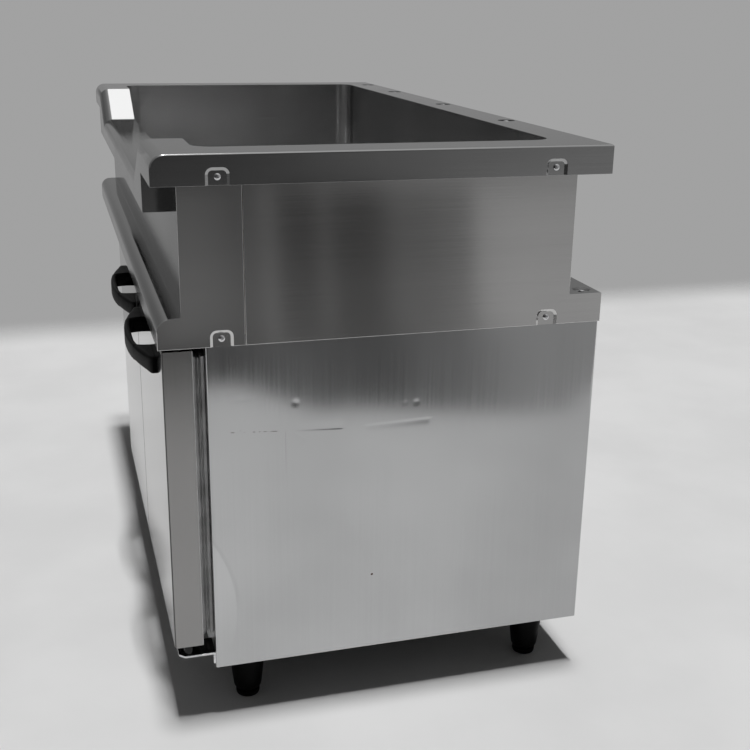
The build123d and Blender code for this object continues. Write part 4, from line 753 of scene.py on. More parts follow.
def fin_coil(name, node, turn, rows, stand=0.0):
    """Fin coil that fills a plain coil's box, raised on its end plates by a stand."""
    low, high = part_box(node)
    low.z += stand
    size = high - low
    upright = abs(turn) > 0.1
    sizes = {
        "Corner": (low + high) / 2,
        "Turn": (0.0, 0.0, turn),
        "Length": size.y if upright else size.x,
        "Depth": size.x if upright else size.y,
        "Height": size.z,
        "Fins": 96 if upright else 72,
        "Fin": FIN,
        "Rows": rows,
        "Tube": FIN_TUBE,
        "Plate": FIN_PLATE,
        "Stand": stand,
        "Metal": fin_metal,
    }
    return grown(name, finned, sizes)


mesh = fin_coil("evaporator_fins", "evaporator_coil", pi / 2, 9)
fit("evaporator_fins", mesh, fin_metal, "fin_aluminium", "evaporator_coil")
refold("slotted_cover", "evaporator_cover", 0.0005, upright_steel)

GUARD_WIRE = 0.00125
guard, given = new_tree(
    "fan_guard",
    Vector=["Centre"],
    Float=["Radius", "Wire", "Stand"],
    Int=["Rings", "Spokes"],
    Material=["Coat"],
)
radius, thick = given["Radius"], given["Wire"]
order = radius.node("GeometryNodeInputIndex")
nest = radius.node(
    "GeometryNodeMeshLine", {"mode": "OFFSET"}, {"Count": given["Rings"], "Offset": (0, 0, 0)}
)
growth = (order + 1.0) * radius / given["Rings"]
loops = radius.node(
    "GeometryNodeInstanceOnPoints",
    {},
    {
        "Points": nest,
        "Instance": circle(radius, 48, 1.0),
        "Scale": vector_of(growth, growth, growth, 1.0),
    },
)
loops = loops.node("GeometryNodeRealizeInstances", {}, {0: loops})
section = circle(radius, 8, thick)
loops = loops.node("GeometryNodeCurveToMesh", {}, {"Curve": loops, "Profile Curve": section})
hub_end = vector_of(radius, radius / given["Rings"], 0.0, 0.0)
rim_end = vector_of(radius, radius, 0.0, 0.0)
foot_end = vector_of(radius, radius, 0.0, given["Stand"] * -1.0)
spoke = wire(radius, hub_end, rim_end, thick, 8)
foot = wire(radius, foot_end, rim_end, thick * 1.6, 10)
star = radius.node("GeometryNodeMeshCircle", {}, {"Vertices": given["Spokes"], "Radius": 0.00001})
bearing = vector_of(radius, 0.0, 0.0, order * (2 * pi) / given["Spokes"])
spokes = radius.node(
    "GeometryNodeInstanceOnPoints",
    {},
    {"Points": star, "Instance": joined([spoke, foot]), "Rotation": bearing},
)
end_tree(joined([loops, spokes]), given["Coat"], given["Centre"], (0.0, pi / 2, 0.0))
guard_low, guard_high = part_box("evaporator_fan_guard")
guard_middle = (guard_low + guard_high) / 2
sizes = {
    "Centre": (guard_high.x - GUARD_WIRE, guard_middle.y, guard_middle.z),
    "Radius": (guard_high.y - guard_low.y) / 2 - 2 * GUARD_WIRE,
    "Rings": 6,
    "Spokes": 4,
    "Wire": GUARD_WIRE,
    "Stand": guard_high.x - guard_low.x - GUARD_WIRE,
    "Coat": wire_coat,
}
mesh = grown("wire_guard", guard, sizes)
fit("wire_guard", mesh, wire_coat, "coated_wire", "evaporator_fan_guard")

black_enamel = moulded("black_enamel", 0.010, 0.22, pebble=250.0)
dress(black_moulding, "evaporator_fan", "condenser_fan")
dress(black_enamel, "evaporator_fan_motor", "condenser_fan_motor")


# Machine compartment: hermetic compressor on rubber mounts, fin condenser with its fan shroud,
# and the brazed copper lines, behind a folded partition.

CONDENSER_STAND = 0.022
MOUNT_RADIUS = 0.0140
MOUNT_PROFILE = (
    (0.0, 0.0), (0.0130, 0.0), (0.0140, 0.0012), (0.0140, 0.0052), (0.0112, 0.0072),
    (0.0112, 0.0098), (0.0136, 0.0116), (0.0136, 0.0150), (0.0122, 0.0180), (0.0, 0.0180),
)
dress(shell_steel, "partition_panel")
dress(black_enamel, "compressor")
dress(copper, "refrigerant_lines", "tub_cooling_coil")
mesh = fin_coil("condenser_fins", "condenser_coil", 0.0, 8, CONDENSER_STAND)
fit("condenser_fins", mesh, fin_metal, "fin_aluminium", "condenser_coil")
refold("folded_shroud", "condenser_shroud", 0.0005, shell_steel)

mount_rubber = moulded("mount_rubber", 0.016, 0.62)
mount_low, mount_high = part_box("compressor_mounts")
mounts = bmesh.new()
for x in (mount_low.x + MOUNT_RADIUS, mount_high.x - MOUNT_RADIUS):
    for y in (mount_low.y + MOUNT_RADIUS, mount_high.y - MOUNT_RADIUS):
        turned(mounts, MOUNT_PROFILE, (x, y, mount_low.z), count=24)
mesh = closed_mesh("rubber_mounts", mounts)
fit("rubber_mounts", mesh, mount_rubber, "rubber_mount", "compressor_mounts")


# Machine front: a folded cover with two columns of pressed louvres, and over it a black fascia
# with a small lit display and three push buttons. The cover hooks on the face frame.

COVER_LEFT, COVER_RIGHT = -0.741, -0.200
COVER_FACE, COVER_BACK = -0.3035, -0.2855
COVER_LOW, COVER_TOP = 0.105, 0.581
LOUVRE_LENGTH, LOUVRE_HEIGHT, LOUVRE_OUT = 0.150, 0.009, 0.005
LOUVRE_ROWS, LOUVRE_PITCH, LOUVRE_FIRST = 14, 0.025, 0.165
LOUVRE_COLUMNS = (-0.5555, -0.3855)
COVER_BEND = 0.0022
HOOD_SHEET, HOOD_HEEL = 0.0009, 0.0016
HOOD_STATIONS = (-1.0, -0.985, -0.95, -0.9, -0.4, 0.4, 0.9, 0.95, 0.985, 1.0)
HOOD_ROUND = 0.9
HOOD_PROFILE = ((0.0, 0.0030), (0.28, HOOD_HEEL), (0.62, -0.0014), (0.90, -0.0056), (1.0, -0.0088))

cover = bmesh.new()
louvre_ends = [x + s * LOUVRE_LENGTH / 2 for x in LOUVRE_COLUMNS for s in (-1, 1)]
breaks_x = [COVER_LEFT, *louvre_ends, COVER_RIGHT]
breaks_z = [COVER_LOW]
for row in range(LOUVRE_ROWS):
    breaks_z += [LOUVRE_FIRST + row * LOUVRE_PITCH + s * LOUVRE_HEIGHT / 2 for s in (-1, 1)]
breaks_z.append(COVER_TOP)
grid = [[cover.verts.new((x, COVER_FACE, z)) for x in breaks_x] for z in breaks_z]
for j in range(len(breaks_z) - 1):
    for i in range(len(breaks_x) - 1):
        if not (i % 2 == 1 and j % 2 == 1):
            cover.faces.new((grid[j][i], grid[j][i + 1], grid[j + 1][i + 1], grid[j + 1][i]))
rim = [grid[0][i] for i in range(len(breaks_x))]
rim += [grid[j][-1] for j in range(1, len(breaks_z))]
rim += [grid[-1][i] for i in range(len(breaks_x) - 2, -1, -1)]
rim += [grid[j][0] for j in range(len(breaks_z) - 2, 0, -1)]
back = [cover.verts.new((v.co.x, COVER_BACK, v.co.z)) for v in rim]
for i in range(len(rim)):
    j = (i + 1) % len(rim)
    cover.faces.new((rim[j], rim[i], back[i], back[j]))
bmesh.ops.recalc_face_normals(cover, faces=cover.faces)
mesh = smoothed(walled(rounded(meshed("louvred_cover", cover), COVER_BEND, 3, 60.0), SHEET))
cover_steel = brushed_steel("cover_steel", 0.56, 0.26, "z", bands=0.3)
fit("louvred_cover", mesh, cover_steel, "stainless", "machine_front_panel")

hood = bmesh.new()
hood_rows = []
for u in HOOD_STATIONS:
    past = max(0.0, (abs(u) - HOOD_ROUND) / (1 - HOOD_ROUND))
    rise = sqrt(max(0.0, 1 - past**2))
    row = []
    for y, z in HOOD_PROFILE:
        z = z if rise > 0.05 else min(z, HOOD_HEEL)
        row.append(hood.verts.new((u * LOUVRE_LENGTH / 2, -LOUVRE_OUT * y * rise, z)))
    hood_rows.append(row)
for low, high in zip(hood_rows, hood_rows[1:]):
    for a, b, c, d in zip(low, low[1:], high[1:], high):
        hood.faces.new((a, b, c, d))
bmesh.ops.recalc_face_normals(hood, faces=hood.faces)
hood_maker = placed(walled(placed(meshed("hood", hood)), HOOD_SHEET, 0.0))

louvres, given = new_tree(
    "pressed_louvres",
    Object=["Hood"],
    Vector=["First", "Row Step", "Column Step"],
    Int=["Rows", "Columns"],
    Material=["Metal"],
)
one = given["Hood"].node("GeometryNodeObjectInfo", {}, {"Object": given["Hood"]}, out="Geometry")
stack = row_of(one, given["Rows"], (0, 0, 0), given["Row Step"])
end_tree(row_of(stack, given["Columns"], given["First"], given["Column Step"]), given["Metal"])
sizes = {
    "Hood": hood_maker,
    "First": (LOUVRE_COLUMNS[0], COVER_FACE, LOUVRE_FIRST + LOUVRE_HEIGHT / 2),
    "Rows": LOUVRE_ROWS,
    "Row Step": (0, 0, LOUVRE_PITCH),
    "Columns": len(LOUVRE_COLUMNS),
    "Column Step": (LOUVRE_COLUMNS[1] - LOUVRE_COLUMNS[0], 0, 0),
    "Metal": cover_steel,
}
mesh = grown("louvre_hoods", louvres, sizes)
bpy.data.objects.remove(hood_maker)
fit("louvre_hoods", mesh, cover_steel, "stainless")

fascia_plastic = moulded("fascia_plastic", 0.018, 0.34)
refold("moulded_fascia", "control_fascia", 0.0006, fascia_plastic, slot="black_plastic")

LENS_DARK, LENS_DUSTY = (0.012, 0.010, 0.011, 1), (0.03, 0.022, 0.022, 1)
display_low, display_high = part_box("display_window")
window = bmesh.new()
box_into(window, display_low, display_high)
lens_finish, shader, place = new_finish("display_lens", {"Coat Roughness": 0.05, "IOR": 1.5})
dust = place.noise(scale=90.0, detail=4.0)
feed(
    shader,
    {
        "Base Color": dust.between(0.3, 0.8).shades(LENS_DARK, LENS_DUSTY),
        "Roughness": 0.08 + 0.16 * dust,
    },
)
mesh = eased(meshed("display_lens", window), 0.0004)
fit("display_lens", mesh, lens_finish, "display", "display_window")

lit, shader, place = new_finish("lit_segment", {"Roughness": 0.4, "Emission Strength": 1.4})
glow = place.noise(scale=300.0)
feed(
    shader,
    {
        "Base Color": glow.shades((0.35, 0.02, 0.015, 1), (0.5, 0.05, 0.03, 1)),
        "Emission Color": glow.between(0.2, 0.8).shades((0.8, 0.04, 0.02, 1), (1.0, 0.09, 0.05, 1)),
    },
)
FIGURES = ((-0.0105, "abcdef"), (0.0075, "fgbc"))
SEGMENT_ENDS = {
    "a": ((0, 1), (1, 1)), "b": ((1, 0.5), (1, 1)), "c": ((1, 0), (1, 0.5)), "d": ((0, 0), (1, 0)),
    "e": ((0, 0), (0, 0.5)), "f": ((0, 0.5), (0, 1)), "g": ((0, 0.5), (1, 0.5)),
}
DIGIT_WIDE, DIGIT_HIGH, STROKE = 0.0110, 0.0200, 0.0021
FIGURE_PROUD, FIGURE_SUNK = 0.00025, 0.0002


def plate_into(form, outline, y_front, y_rear):
    """Add a thin upright plate to a form, from its outline in x and z."""
    front = [form.verts.new((x, y_front, z)) for x, z in outline]
    rear = [form.verts.new((x, y_rear, z)) for x, z in outline]
    form.faces.new(front)
    form.faces.new(rear[::-1])
    for i in range(len(front)):
        j = (i + 1) % len(front)
        form.faces.new((front[i], rear[i], rear[j], front[j]))


digits = bmesh.new()
display_middle = (display_low + display_high) / 2
for place_x, segments in FIGURES:
    for segment in segments:
        (x_a, z_a), (x_b, z_b) = SEGMENT_ENDS[segment]
        start = Vector((place_x + x_a * DIGIT_WIDE - DIGIT_WIDE / 2, 0, (z_a - 0.5) * DIGIT_HIGH))
        stop = Vector((place_x + x_b * DIGIT_WIDE - DIGIT_WIDE / 2, 0, (z_b - 0.5) * DIGIT_HIGH))
        run = (stop - start).normalized()
        side_way = Vector((-run.z, 0, run.x))
        start += run * STROKE * 0.3
        stop -= run * STROKE * 0.3
        spots = [
            start, start + (run + side_way) * STROKE / 2, stop + (side_way - run) * STROKE / 2, stop,
            stop - (run + side_way) * STROKE / 2, start + (run - side_way) * STROKE / 2,
        ]
        outline = [(display_middle.x + spot.x, display_middle.z + spot.z) for spot in spots]
        plate_into(digits, outline, display_low.y - FIGURE_PROUD, display_low.y + FIGURE_SUNK)
fit("display_figures", closed_mesh("display_figures", digits), lit, "display")

button_plastic = moulded("button_plastic", 0.16, 0.36, pebble=700.0)
mark_paint = moulded("mark_paint", 0.62, 0.5)
CAP_DOME = 0.0004
CAP_PROFILE = (
    (0.0, CAP_DOME), (0.0036, 0.0003), (0.0058, 0.0), (0.0066, -0.0003), (0.0070, -0.0009),
    (0.0070, -0.0053), (0.0090, -0.0053), (0.0090, -0.0073), (0.0, -0.0073),
)
DOT_RADIUS, ARROW_HALF, ARROW_FOOT, ARROW_TIP = 0.0021, 0.0027, 0.0018, 0.0026
SIGN_PROUD, SIGN_SUNK = 0.00005, 0.0005
for name in ("set", "down", "up"):
    low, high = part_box(f"{name}_button")
    middle = (low + high) / 2
    cap = bmesh.new()
    turned(cap, CAP_PROFILE, (middle.x, low.y + CAP_DOME, middle.z), axis="-y", count=32)
    body = f"{name}_button"
    mesh = closed_mesh(f"{name}_cap", cap)
    fit(f"{name}_cap", mesh, button_plastic, "button_plastic", body, body=body)
    sign = bmesh.new()
    if name == "set":
        spots = [(DOT_RADIUS * cos(i * pi / 8), DOT_RADIUS * sin(i * pi / 8)) for i in range(16)]
    else:
        way = 1 if name == "up" else -1
        foot = -ARROW_FOOT * way
        spots = [(-ARROW_HALF, foot), (ARROW_HALF, foot), (0.0, ARROW_TIP * way)]
    outline = [(middle.x + x, middle.z + z) for x, z in spots]
    plate_into(sign, outline, low.y - SIGN_PROUD, low.y + SIGN_SUNK)
    mesh = closed_mesh(f"{name}_sign", sign)
    fit(f"{name}_sign", mesh, mark_paint, "button_plastic", body=body)


# Doors: folded stainless skins on foam, with pressed inner panels and turned-back edges.
# Each has a magnetic bellows gasket with welded mitres and a moulded arch handle, and swings on pins.

# The door skins get painted shade on their rounded upright edges and on their ends.
door_steel = brushed_steel(
    "door_steel", 0.46, 0.06, "z", bands=0.2, warmth=0.014, glancing=0.85, edge_shade=0.85
)
door_liner_steel = brushed_steel("door_liner_steel", 0.57, 0.3, "z")
bush_plastic = moulded("bush_plastic", 0.05, 0.45)
gasket_rubber = moulded("gasket_rubber", 0.40, 0.5, pebble=400.0)
DOOR_SPANS = {"right": (0.275, 0.740), "left": (-0.194, 0.271)}
DOOR_LOW, DOOR_TOP = 0.144, 0.668
DOOR_FACE, DOOR_BACK = -0.354, -0.3055
GASKET_INSET, GASKET_HALF = 0.014, 0.011
GASKET_SECTION = (
    (-0.0110, 0.0), (-0.0110, 0.0034), (-0.0101, 0.0054), (-0.0076, 0.0062), (-0.0060, 0.0072),
    (-0.0066, 0.0082), (-0.0084, 0.0090), (-0.0084, 0.0100), (-0.0064, 0.0110), (-0.0060, 0.0122),
    (-0.0080, 0.0132), (-0.0104, 0.0140), (-0.0110, 0.0156), (-0.0110, 0.0180), (-0.0098, 0.0194),
    (-0.0070, 0.0197),
)
HANDLE_MIDDLES = {"right": 0.457, "left": 0.089}
HANDLE_HALF, HANDLE_REACH, HANDLE_BLUNT, HANDLE_BAR = 0.170, 0.0365, 0.006, 0.0115
HANDLE_TIP, TIP_SHRINK = 0.163, 0.0022
HANDLE_EDGE, BAR_LEAST, BACK_EDGE = 0.0058, 0.0085, 0.0004
GRIP_HALF, GRIP_TAPER = 0.092, 0.014
HALF_STATIONS = (
    0.0, 0.02, 0.04, 0.055, 0.066, 0.072, 0.075, 0.078, 0.0795, 0.082, 0.085, 0.088, 0.0905,
    0.092, 0.0925, 0.100, 0.115, 0.130, 0.145, 0.156, 0.163, 0.167, 0.169, 0.170,
)


def bellows(name, x_low, x_high):
    """Gasket ring on the door's back, mitred at its corners."""
    section = list(GASKET_SECTION) + [(-w, d) for w, d in reversed(GASKET_SECTION)]
    inset = GASKET_INSET + GASKET_HALF
    corners = (
        (x_low + inset, DOOR_LOW + inset, -1, -1), (x_high - inset, DOOR_LOW + inset, 1, -1),
        (x_high - inset, DOOR_TOP - inset, 1, 1), (x_low + inset, DOOR_TOP - inset, -1, 1),
    )
    form = bmesh.new()
    rings = [
        [form.verts.new((x - w * u, DOOR_BACK + d, z - w * v)) for w, d in section]
        for x, z, u, v in corners
    ]
    skinned(form, rings + rings[:1])
    return closed_mesh(name, form, 50.0)


def handle_outer(t):
    """Reach of the arch's outer face at a place along it."""
    sagitta = HANDLE_REACH - HANDLE_BLUNT
    bow = (HANDLE_HALF**2 + sagitta**2) / (2 * sagitta)
    return sqrt(bow**2 - t**2) - bow + HANDLE_REACH


def handle_inner(t):
    """Depth of the finger opening at a place along the arch."""
    share = min(1.0, max(0.0, (GRIP_HALF - abs(t)) / GRIP_TAPER))
    return (HANDLE_REACH - HANDLE_BAR) * (1 - (1 - share) ** 2.2)


def arch_handle(name, middle, low, high):
    """Arch handle lofted from rounded sections."""
    form = bmesh.new()
    rings = []
    for t in (*[-t for t in HALF_STATIONS[:0:-1]], *HALF_STATIONS):
        past = max(0.0, (abs(t) - HANDLE_TIP) / (HANDLE_HALF - HANDLE_TIP))
        shrink = TIP_SHRINK * past**2
        near, far = handle_inner(t), handle_outer(t) - shrink
        z_low, z_high = low + shrink, high - shrink
        if near > 0:
            near = min(near, far - BAR_LEAST)
        round_edge = min(HANDLE_EDGE, 0.42 * (far - near))
        back_edge = round_edge if near > 0 else BACK_EDGE
        corners = (
            (far - round_edge, z_high - round_edge, round_edge),
            (far - round_edge, z_low + round_edge, round_edge),
            (near + back_edge, z_low + back_edge, back_edge),
            (near + back_edge, z_high - back_edge, back_edge),
        )
        ring = []
        for quarter, (y_mid, z_mid, edge) in enumerate(corners):
            for i in range(5):
                a = pi / 2 * (1 - i / 4) - quarter * pi / 2
                y, z = DOOR_FACE - y_mid - edge * cos(a), z_mid + edge * sin(a)
                ring.append(form.verts.new((middle + t, y, z)))
        rings.append(ring)
    skinned(form, rings)
    form.faces.new(rings[0][::-1])
    form.faces.new(rings[-1])
    return closed_mesh(name, form, 45.0)


for side, span in DOOR_SPANS.items():
    body = f"{side}_door"
    refold(f"{side}_skin", f"{body}_skin", 0.0005, door_steel, body=body)
    refold(f"{side}_inner_panel", f"{body}_liner", 0.0025, door_liner_steel, body=body, segments=3)
    mesh = bellows(f"{side}_bellows", *span)
    fit(f"{side}_bellows", mesh, gasket_rubber, "gasket", f"{body}_gasket", body=body)
    low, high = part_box(f"{body}_handle")
    mesh = arch_handle(f"{side}_arch_handle", HANDLE_MIDDLES[side], low.z, high.z)
    fit(f"{side}_arch_handle", mesh, black_moulding, "black_plastic", f"{body}_handle", body=body)
    dress(bush_plastic, f"{body}_bushes")

PLATING = ((0.78, 0.78, 0.79, 1), (0.6, 0.6, 0.61, 1), 0.16, 0.12)
PIVOT_PLATE_TOP = 0.1265
bright_plate = cast_metal("bright_plate", *PLATING)
pivot_steel = cast_metal("pivot_steel", *PLATING, PIVOT_PLATE_TOP)
for side in DOOR_SPANS:
    brackets = f"{side}_hinge_brackets"
    refold(f"{side}_pivots", brackets, 0.0012, pivot_steel, slot="bright_steel", segments=3)


# Worktop and casing: a folded front with a rounded nose, a rear with its ledge, and two end plates
# at each end that meet in an upright seam. Brushed along their length and spot welded.

worktop_steel = brushed_steel("worktop_steel", 0.42, 0.12, "x", glancing=0.62)
end_steel = brushed_steel("end_steel", 0.63, 0.08, "xy", bands=0.5, warmth=0.008)
refold("nosed_worktop", "worktop_front", 0.0007, worktop_steel)
refold("ledge_worktop", "worktop_rear", 0.0007, worktop_steel)
END_FACE, HEM_ROLL = 0.7455, 0.0010


def hem_edge(edge):
    """Whether an edge runs along the foot or the seam of an end plate's outer face."""
    ways = sorted((face.normal for face in edge.link_faces), key=lambda way: -abs(way.x))
    outer = all(abs(vert.co.x) > END_FACE - 1e-4 for vert in edge.verts)
    return outer and abs(ways[0].x) > 0.9 and (ways[1].z < -0.9 or abs(ways[1].y) > 0.9)


for part in ("front", "rear"):
    plates = f"{part}_end_plates"
    refold(f"{part}_ends", plates, 0.0002, end_steel, rolls=((HEM_ROLL, hem_edge),))


# Tub: a deep basin with coved corners under a folded rim, whose front dips between raised corners.
# The rim is welded to the basin and held by pan head screws in pressed pockets; a strainer drains it.

RIM_MIDDLE_Y = 0.0155
RIM_END, RIM_REAR, RIM_TOP, RIM_EDGE = 0.750, 0.3905, 0.973, 0.925
RIM_ROLL = 0.0035


def rim_edge(edge):
    """Whether an edge is the upper outer fold of the rim, along its ends or its rear."""
    ways = sorted((face.normal for face in edge.link_faces), key=lambda way: -abs(way.x))
    spots = [vert.co for vert in edge.verts]
    end = all(abs(spot.x) > RIM_END - 1e-4 and spot.z > RIM_EDGE + 0.026 for spot in spots)
    rear = all(spot.y > RIM_REAR - 1e-4 and spot.z > RIM_TOP - 1e-4 for spot in spots)
    return rear or (end and abs(ways[0].x) > 0.9 and abs(ways[1].x) < 0.2)


def mitred_steel(name, level, roughness, glancing):
    """Brushed band whose grain turns at the mitred corners, with painted shade in its round screw
    pockets.
    """
    material, shader, place = new_finish(name, {"Specular Tint": grey(glancing)})
    x, y, z = place.axes()
    ends = ((abs(x) - 0.672) - (abs(y - RIM_MIDDLE_Y) - 0.302)).between(-0.0005, 0.0005)
    across = place.noise((GRAIN_FINE, GRAIN_LONG, GRAIN_FINE), detail=3.0)
    lengthwise = place.noise((GRAIN_LONG, GRAIN_FINE, GRAIN_FINE), detail=3.0)
    streak = across * ends + lengthwise * (1 - ends)
    cloud = place.noise(scale=5.0, detail=4.0)
    tone = streak * 0.65 + cloud * 0.35
    colour = tone.between(0.25, 0.75).shades(grey(level * 0.93), grey(level * 1.06))
    # Painted shade: the round screw pockets in the rear rim are made near black, matt and not metallic.
    recess_shade = z.between(0.965, 0.969) * (1 - z.between(0.9726, 0.97295))
    recess_shade = recess_shade * (1 - abs(x).between(0.700, 0.702))
    recess_shade = recess_shade * y.between(0.340, 0.345) * (1 - y.between(0.384, 0.386))
    feed(
        shader,
        {
            "Base Color": recess_shade.shades(colour, grey(0.01)),
            "Roughness": roughness + 0.12 * (streak - 0.5) + 0.12 * (cloud - 0.5) + 0.8 * recess_shade,
            "Metallic": 1 - recess_shade,
            "Normal": streak.relief(0.0001, 0.2),
        },
    )
    return material


rim_steel = mitred_steel("rim_steel", 0.42, 0.13, 0.7)
tub_steel = brushed_steel("tub_steel", 0.56, 0.2, "xy", bands=0.4, glancing=0.7)
refold("folded_rim", "tub_rim", 0.0009, rim_steel, angle=20.0, rolls=((RIM_ROLL, rim_edge),))
dress(tub_steel, "tub_basin")
refold("strainer", "drain_strainer", 0.0005, bright_plate, slot="tub_steel")
dress(bush_plastic, "drain_pipe")

HEAD_RADIUS, HEAD_HIGH, HEAD_DOME, HEAD_SIDES = 0.0052, 0.0024, 0.0013, 32
DRIVE_REACH, DRIVE_HALF, DRIVE_DEEP = 0.0025, 0.00062, 0.0013
HEAD_RADII = (0.0, 0.0006, 0.0009, 0.0016, 0.0023, 0.0028, 0.0038, 0.0047, HEAD_RADIUS, HEAD_RADIUS)
SHANK_PROFILE = ((0.0, 0.0002), (0.0024, 0.0002), (0.0024, -0.0046), (0.0014, -0.0055), (0.0, -0.0055))
head = bmesh.new()
rings = []
for k, radius in enumerate(HEAD_RADII):
    ring = []
    for i in range(HEAD_SIDES if radius > 0 else 1):
        a = 2 * pi * i / HEAD_SIDES
        u, v = radius * cos(a), radius * sin(a)
        height = HEAD_HIGH - HEAD_DOME * (radius / HEAD_RADIUS) ** 2.4
        if radius < DRIVE_REACH and min(abs(u), abs(v)) < DRIVE_HALF:
            height -= DRIVE_DEEP
        ring.append(head.verts.new((u, v, 0.0 if k == len(HEAD_RADII) - 1 else height)))
    rings.append(ring)
for inner, outer in zip(rings, rings[1:]):
    for i in range(HEAD_SIDES):
        j = (i + 1) % HEAD_SIDES
        corners = [inner[i % len(inner)], outer[i], outer[j], inner[j % len(inner)]]
        head.faces.new(list(dict.fromkeys(corners)))
head.faces.new(rings[-1][::-1])
turned(head, SHANK_PROFILE, (0, 0, 0), count=12)
head_maker = placed(closed_mesh("pan_head", head, 30.0))

SKIRT_SEATS = ((0.747, 0.938), (0.7425, 0.686))
SKIRT_SEATS_Y = (-0.2595, 0.2905)
RECESS_SEATS, RECESS_SEAT_Y, RECESS_SEAT_Z = (0.350, -0.020, -0.390, -0.640), 0.3655, 0.9705
LEDGE_SEAT, LEDGE_SEAT_Z = 0.7175, 0.7205
seats = [
    ((sign * x, y, z), (sign, 0, 0))
    for sign in (1, -1)
    for x, z in SKIRT_SEATS
    for y in SKIRT_SEATS_Y
]
seats += [((x, RECESS_SEAT_Y, RECESS_SEAT_Z), (0, 0, 1)) for x in RECESS_SEATS]
seats += [((sign * LEDGE_SEAT, RECESS_SEAT_Y, LEDGE_SEAT_Z), (0, 0, 1)) for sign in (1, -1)]
seat_mesh = bpy.data.meshes.new("screw_seats")
seat_mesh.from_pydata([spot for spot, _ in seats], [], [])
facing = seat_mesh.attributes.new("facing", "FLOAT_VECTOR", "POINT")
for i, (_, way) in enumerate(seats):
    facing.data[i].vector = way

screws, given = new_tree(
    "pocket_screws",
    Geometry=["Seats"],
    Object=["Head"],
    Float=["Twist"],
    Int=["Seed"],
    Material=["Plating"],
)
head_shape = given["Head"].node(
    "GeometryNodeObjectInfo", {}, {"Object": given["Head"]}, out="Geometry"
)
way = head_shape.node(
    "GeometryNodeInputNamedAttribute", {"data_type": "FLOAT_VECTOR"}, {"Name": "facing"}
)
leaning = head_shape.node("FunctionNodeAlignRotationToVector", {"axis": "Z"}, {"Vector": way})
spun = head_shape.node(
    "FunctionNodeRandomValue",
    {"data_type": "FLOAT"},
    {2: 0.0, 3: given["Twist"], "Seed": given["Seed"]},
    out=1,
)
twist = head_shape.node("FunctionNodeAxisAngleToRotation", {}, {"Axis": (0, 0, 1), "Angle": spun})
turned_seat = head_shape.node(
    "FunctionNodeRotateRotation", {"rotation_space": "LOCAL"}, {"Rotation": leaning, "Rotate By": twist}
)
end_tree(
    head_shape.node(
        "GeometryNodeInstanceOnPoints",
        {},
        {"Points": given["Seats"], "Instance": head_shape, "Rotation": turned_seat},
    ),
    given["Plating"],
)
sizes = {"Head": head_maker, "Twist": 1.5, "Seed": 4, "Plating": bright_plate}
mesh = grown("pan_heads", screws, sizes, seat_mesh, 30.0)
bpy.data.objects.remove(head_maker)
fit("pan_heads", mesh, bright_plate, "bright_steel", "pocket_screws")


# Insulation: cream foam between liner and shell, under the worktop and in the doors.
# It is poured in as a liquid, swells to fill the space and sticks to the sheets as it sets.

foam, shader, place = new_finish("poured_foam", {"Roughness": 0.9})
cells = place.node("ShaderNodeTexVoronoi", {}, {"Vector": place, "Scale": 420.0})
skin = place.noise(scale=14.0, detail=4.0)
feed(
    shader,
    {
        "Base Color": skin.between(0.3, 0.7).shades((0.62, 0.52, 0.33, 1), (0.78, 0.70, 0.50, 1)),
        "Normal": cells.relief(0.0008, 0.5),
    },
)
dress(foam, "insulation_core", "top_insulation", "right_door_core", "left_door_core")


# Studio: a pale floor, two lights from overhead, a small lamp over the far end and an even pale room.
# Metal mirrors a darker room and no floor behind the camera, which stands at the photograph's place.

FLOOR_REACH = 9.0
FLOOR_CORNERS = ((-1, -1), (1, -1), (1, 1), (-1, 1))


def ramped(place, level, *rises):
    """Level that changes by a rise between two places, for each rise in turn."""
    for rise, low, high in rises:
        level = level + rise * place.between(low, high)
    return level


floor_mesh = bpy.data.meshes.new("floor")
floor_mesh.from_pydata(
    [(FLOOR_REACH * u, FLOOR_REACH * v, 0) for u, v in FLOOR_CORNERS], [], [(0, 1, 2, 3)]
)
floor_finish, shader, place = new_finish("pale_floor", {"Roughness": 0.75})
x, y, _ = place.axes()
mottle = place.noise(scale=2.2, detail=6.0)
shore = ramped(y, 2.48, (-0.30, 0.0, 0.28), (-0.17, 0.28, 0.9), (0.20, 0.95, 1.25))
glossy_ray = place.node("ShaderNodeLightPath", out="Is Glossy Ray")
fade = x.between(-2.0, -1.6) * (1 - glossy_ray * (x - shore).between(-0.05, 0.10))
edge = 1 - ((x * x + y * y) ** 0.5).between(4.0, 8.0)
colour = mottle.between(0.3, 0.7).shades(grey(0.66), grey(0.72))
feed(shader, {"Base Color": colour, "Alpha": fade * edge})
floor_mesh.materials.append(floor_finish)
floor = placed(floor_mesh)

world = bpy.data.worlds.new("room")
bpy.context.scene.world = world
world.use_nodes = True
tree = world.node_tree
sky = tree.nodes["Background"]
way = Value(tree, tree.nodes.new("ShaderNodeTexCoord").outputs["Generated"])
x, y, z = way.axes()
behind = x * 0.985 - y * 0.17
dark = behind.between(0.78, 0.885)
aside = (y * -1.0).between(0.05, 0.45)
lift = z.between(0.1, 0.9)
beam = z.between(0.58, 0.66) * (1 - z.between(0.83, 0.87)) * (1 - abs(y).between(0.15, 0.25))
beam = beam * (x * -1.0).between(0.3, 0.4)
room = (0.36 + 0.3 * lift) * (1 - 0.84 * dark) * (1 - 0.6 * aside) * (1 - 0.85 * beam)
upper = ramped(y, 0.12, (0.47, 0.10, 0.345), (0.10, 0.405, 0.435))
post = (1 - abs(y - 0.183).between(0.005, 0.010)) * 0.24
post = post + (1 - abs(y - 0.232).between(0.004, 0.009)) * 0.14
middle = ramped(y, 0.44, (-0.20, 0.11, 0.20), (0.18, 0.270, 0.300), (0.08, 0.315, 0.350)) + post
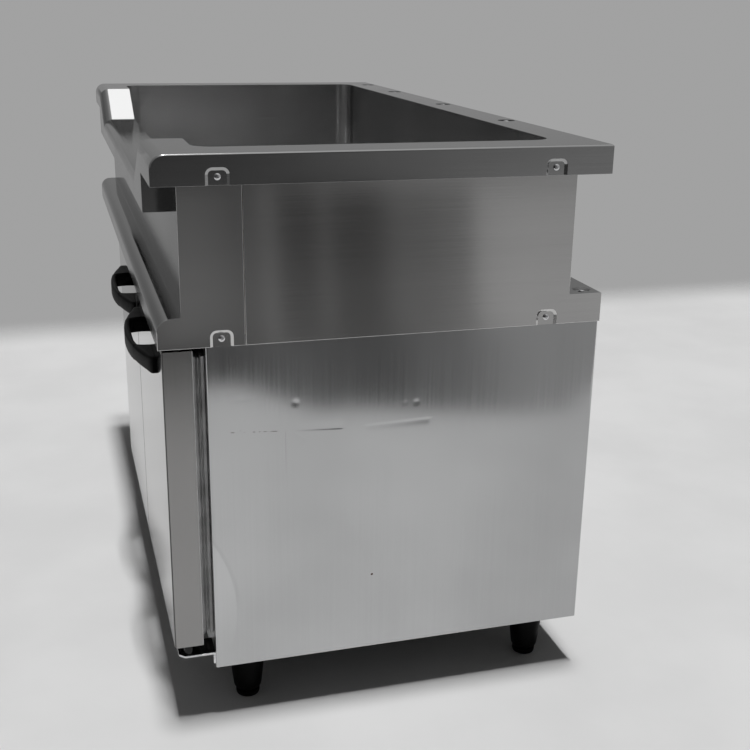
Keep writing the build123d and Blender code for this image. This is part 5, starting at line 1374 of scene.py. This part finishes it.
middle = ramped(y, middle, (0.46, 0.354, 0.362), (0.08, 0.362, 0.395))
middle = ramped(z, middle, (-0.10, -0.25, -0.19))
lower = ramped(y, 0.06, (0.31, 0.13, 0.19), (-0.10, 0.19, 0.26), (0.20, 0.27, 0.33))
lower = ramped(y, lower, (0.52, 0.33, 0.41))
high = z.between(-0.156, -0.148)
low = 1 - (z - 0.08 * y).between(-0.306, -0.296)
doorway = upper * high + middle * (1 - high - low) + lower * low
corner = x.between(0.7, 0.8) * (1 - z.between(-0.10, -0.06)) * y.between(0.05, 0.10)
room = room * (1 - corner) + 0.36 * doorway * corner
rays = tree.nodes.new("ShaderNodeLightPath").outputs
camera_ray = Value(tree, rays["Is Camera Ray"])
mirrored = Value(tree, rays["Is Glossy Ray"]) + Value(tree, rays["Is Transmission Ray"])
mirrored = mirrored.maths("MINIMUM", mirrored, 1 - camera_ray)
level = 0.36 * camera_ray + room * mirrored + (0.03 + 0.05 * lift) * (1 - camera_ray - mirrored)
tree.links.new(level.socket, sky.inputs["Color"])

for name, energy, lean in (("overhead", 1.70, -0.01), ("overhead_near", 0.97, 0.09)):
    sun = bpy.data.lights.new(name, "SUN")
    sun.angle = radians(4)
    sun.energy = energy
    placed(sun).rotation_euler = Vector((lean, 0.01, 1.0)).to_track_quat("Z", "Y").to_euler()

lamp = bpy.data.lights.new("far_lamp", "AREA")
lamp.size = 0.8
lamp.energy = 3.15
placed(lamp).location = (-1.6, -0.14, 3.2)

view = bpy.data.cameras.new("camera")
view.lens = 53.807
view.sensor_width = 36.0
camera = placed(view)
camera_place = (2.41984, -0.50313, 1.18500)
right = Vector((0.27815, 0.96044, 0.01346))
down = Vector((0.30549, -0.07517, -0.94922))
forward = Vector((-0.91066, 0.26813, -0.31432))
turn = Matrix((right, -down, -forward)).transposed().to_4x4()
camera.matrix_world = Matrix.Translation(camera_place) @ turn
bpy.context.scene.camera = camera
bpy.context.scene.view_settings.view_transform = "Standard"

bpy.context.view_layer.update()
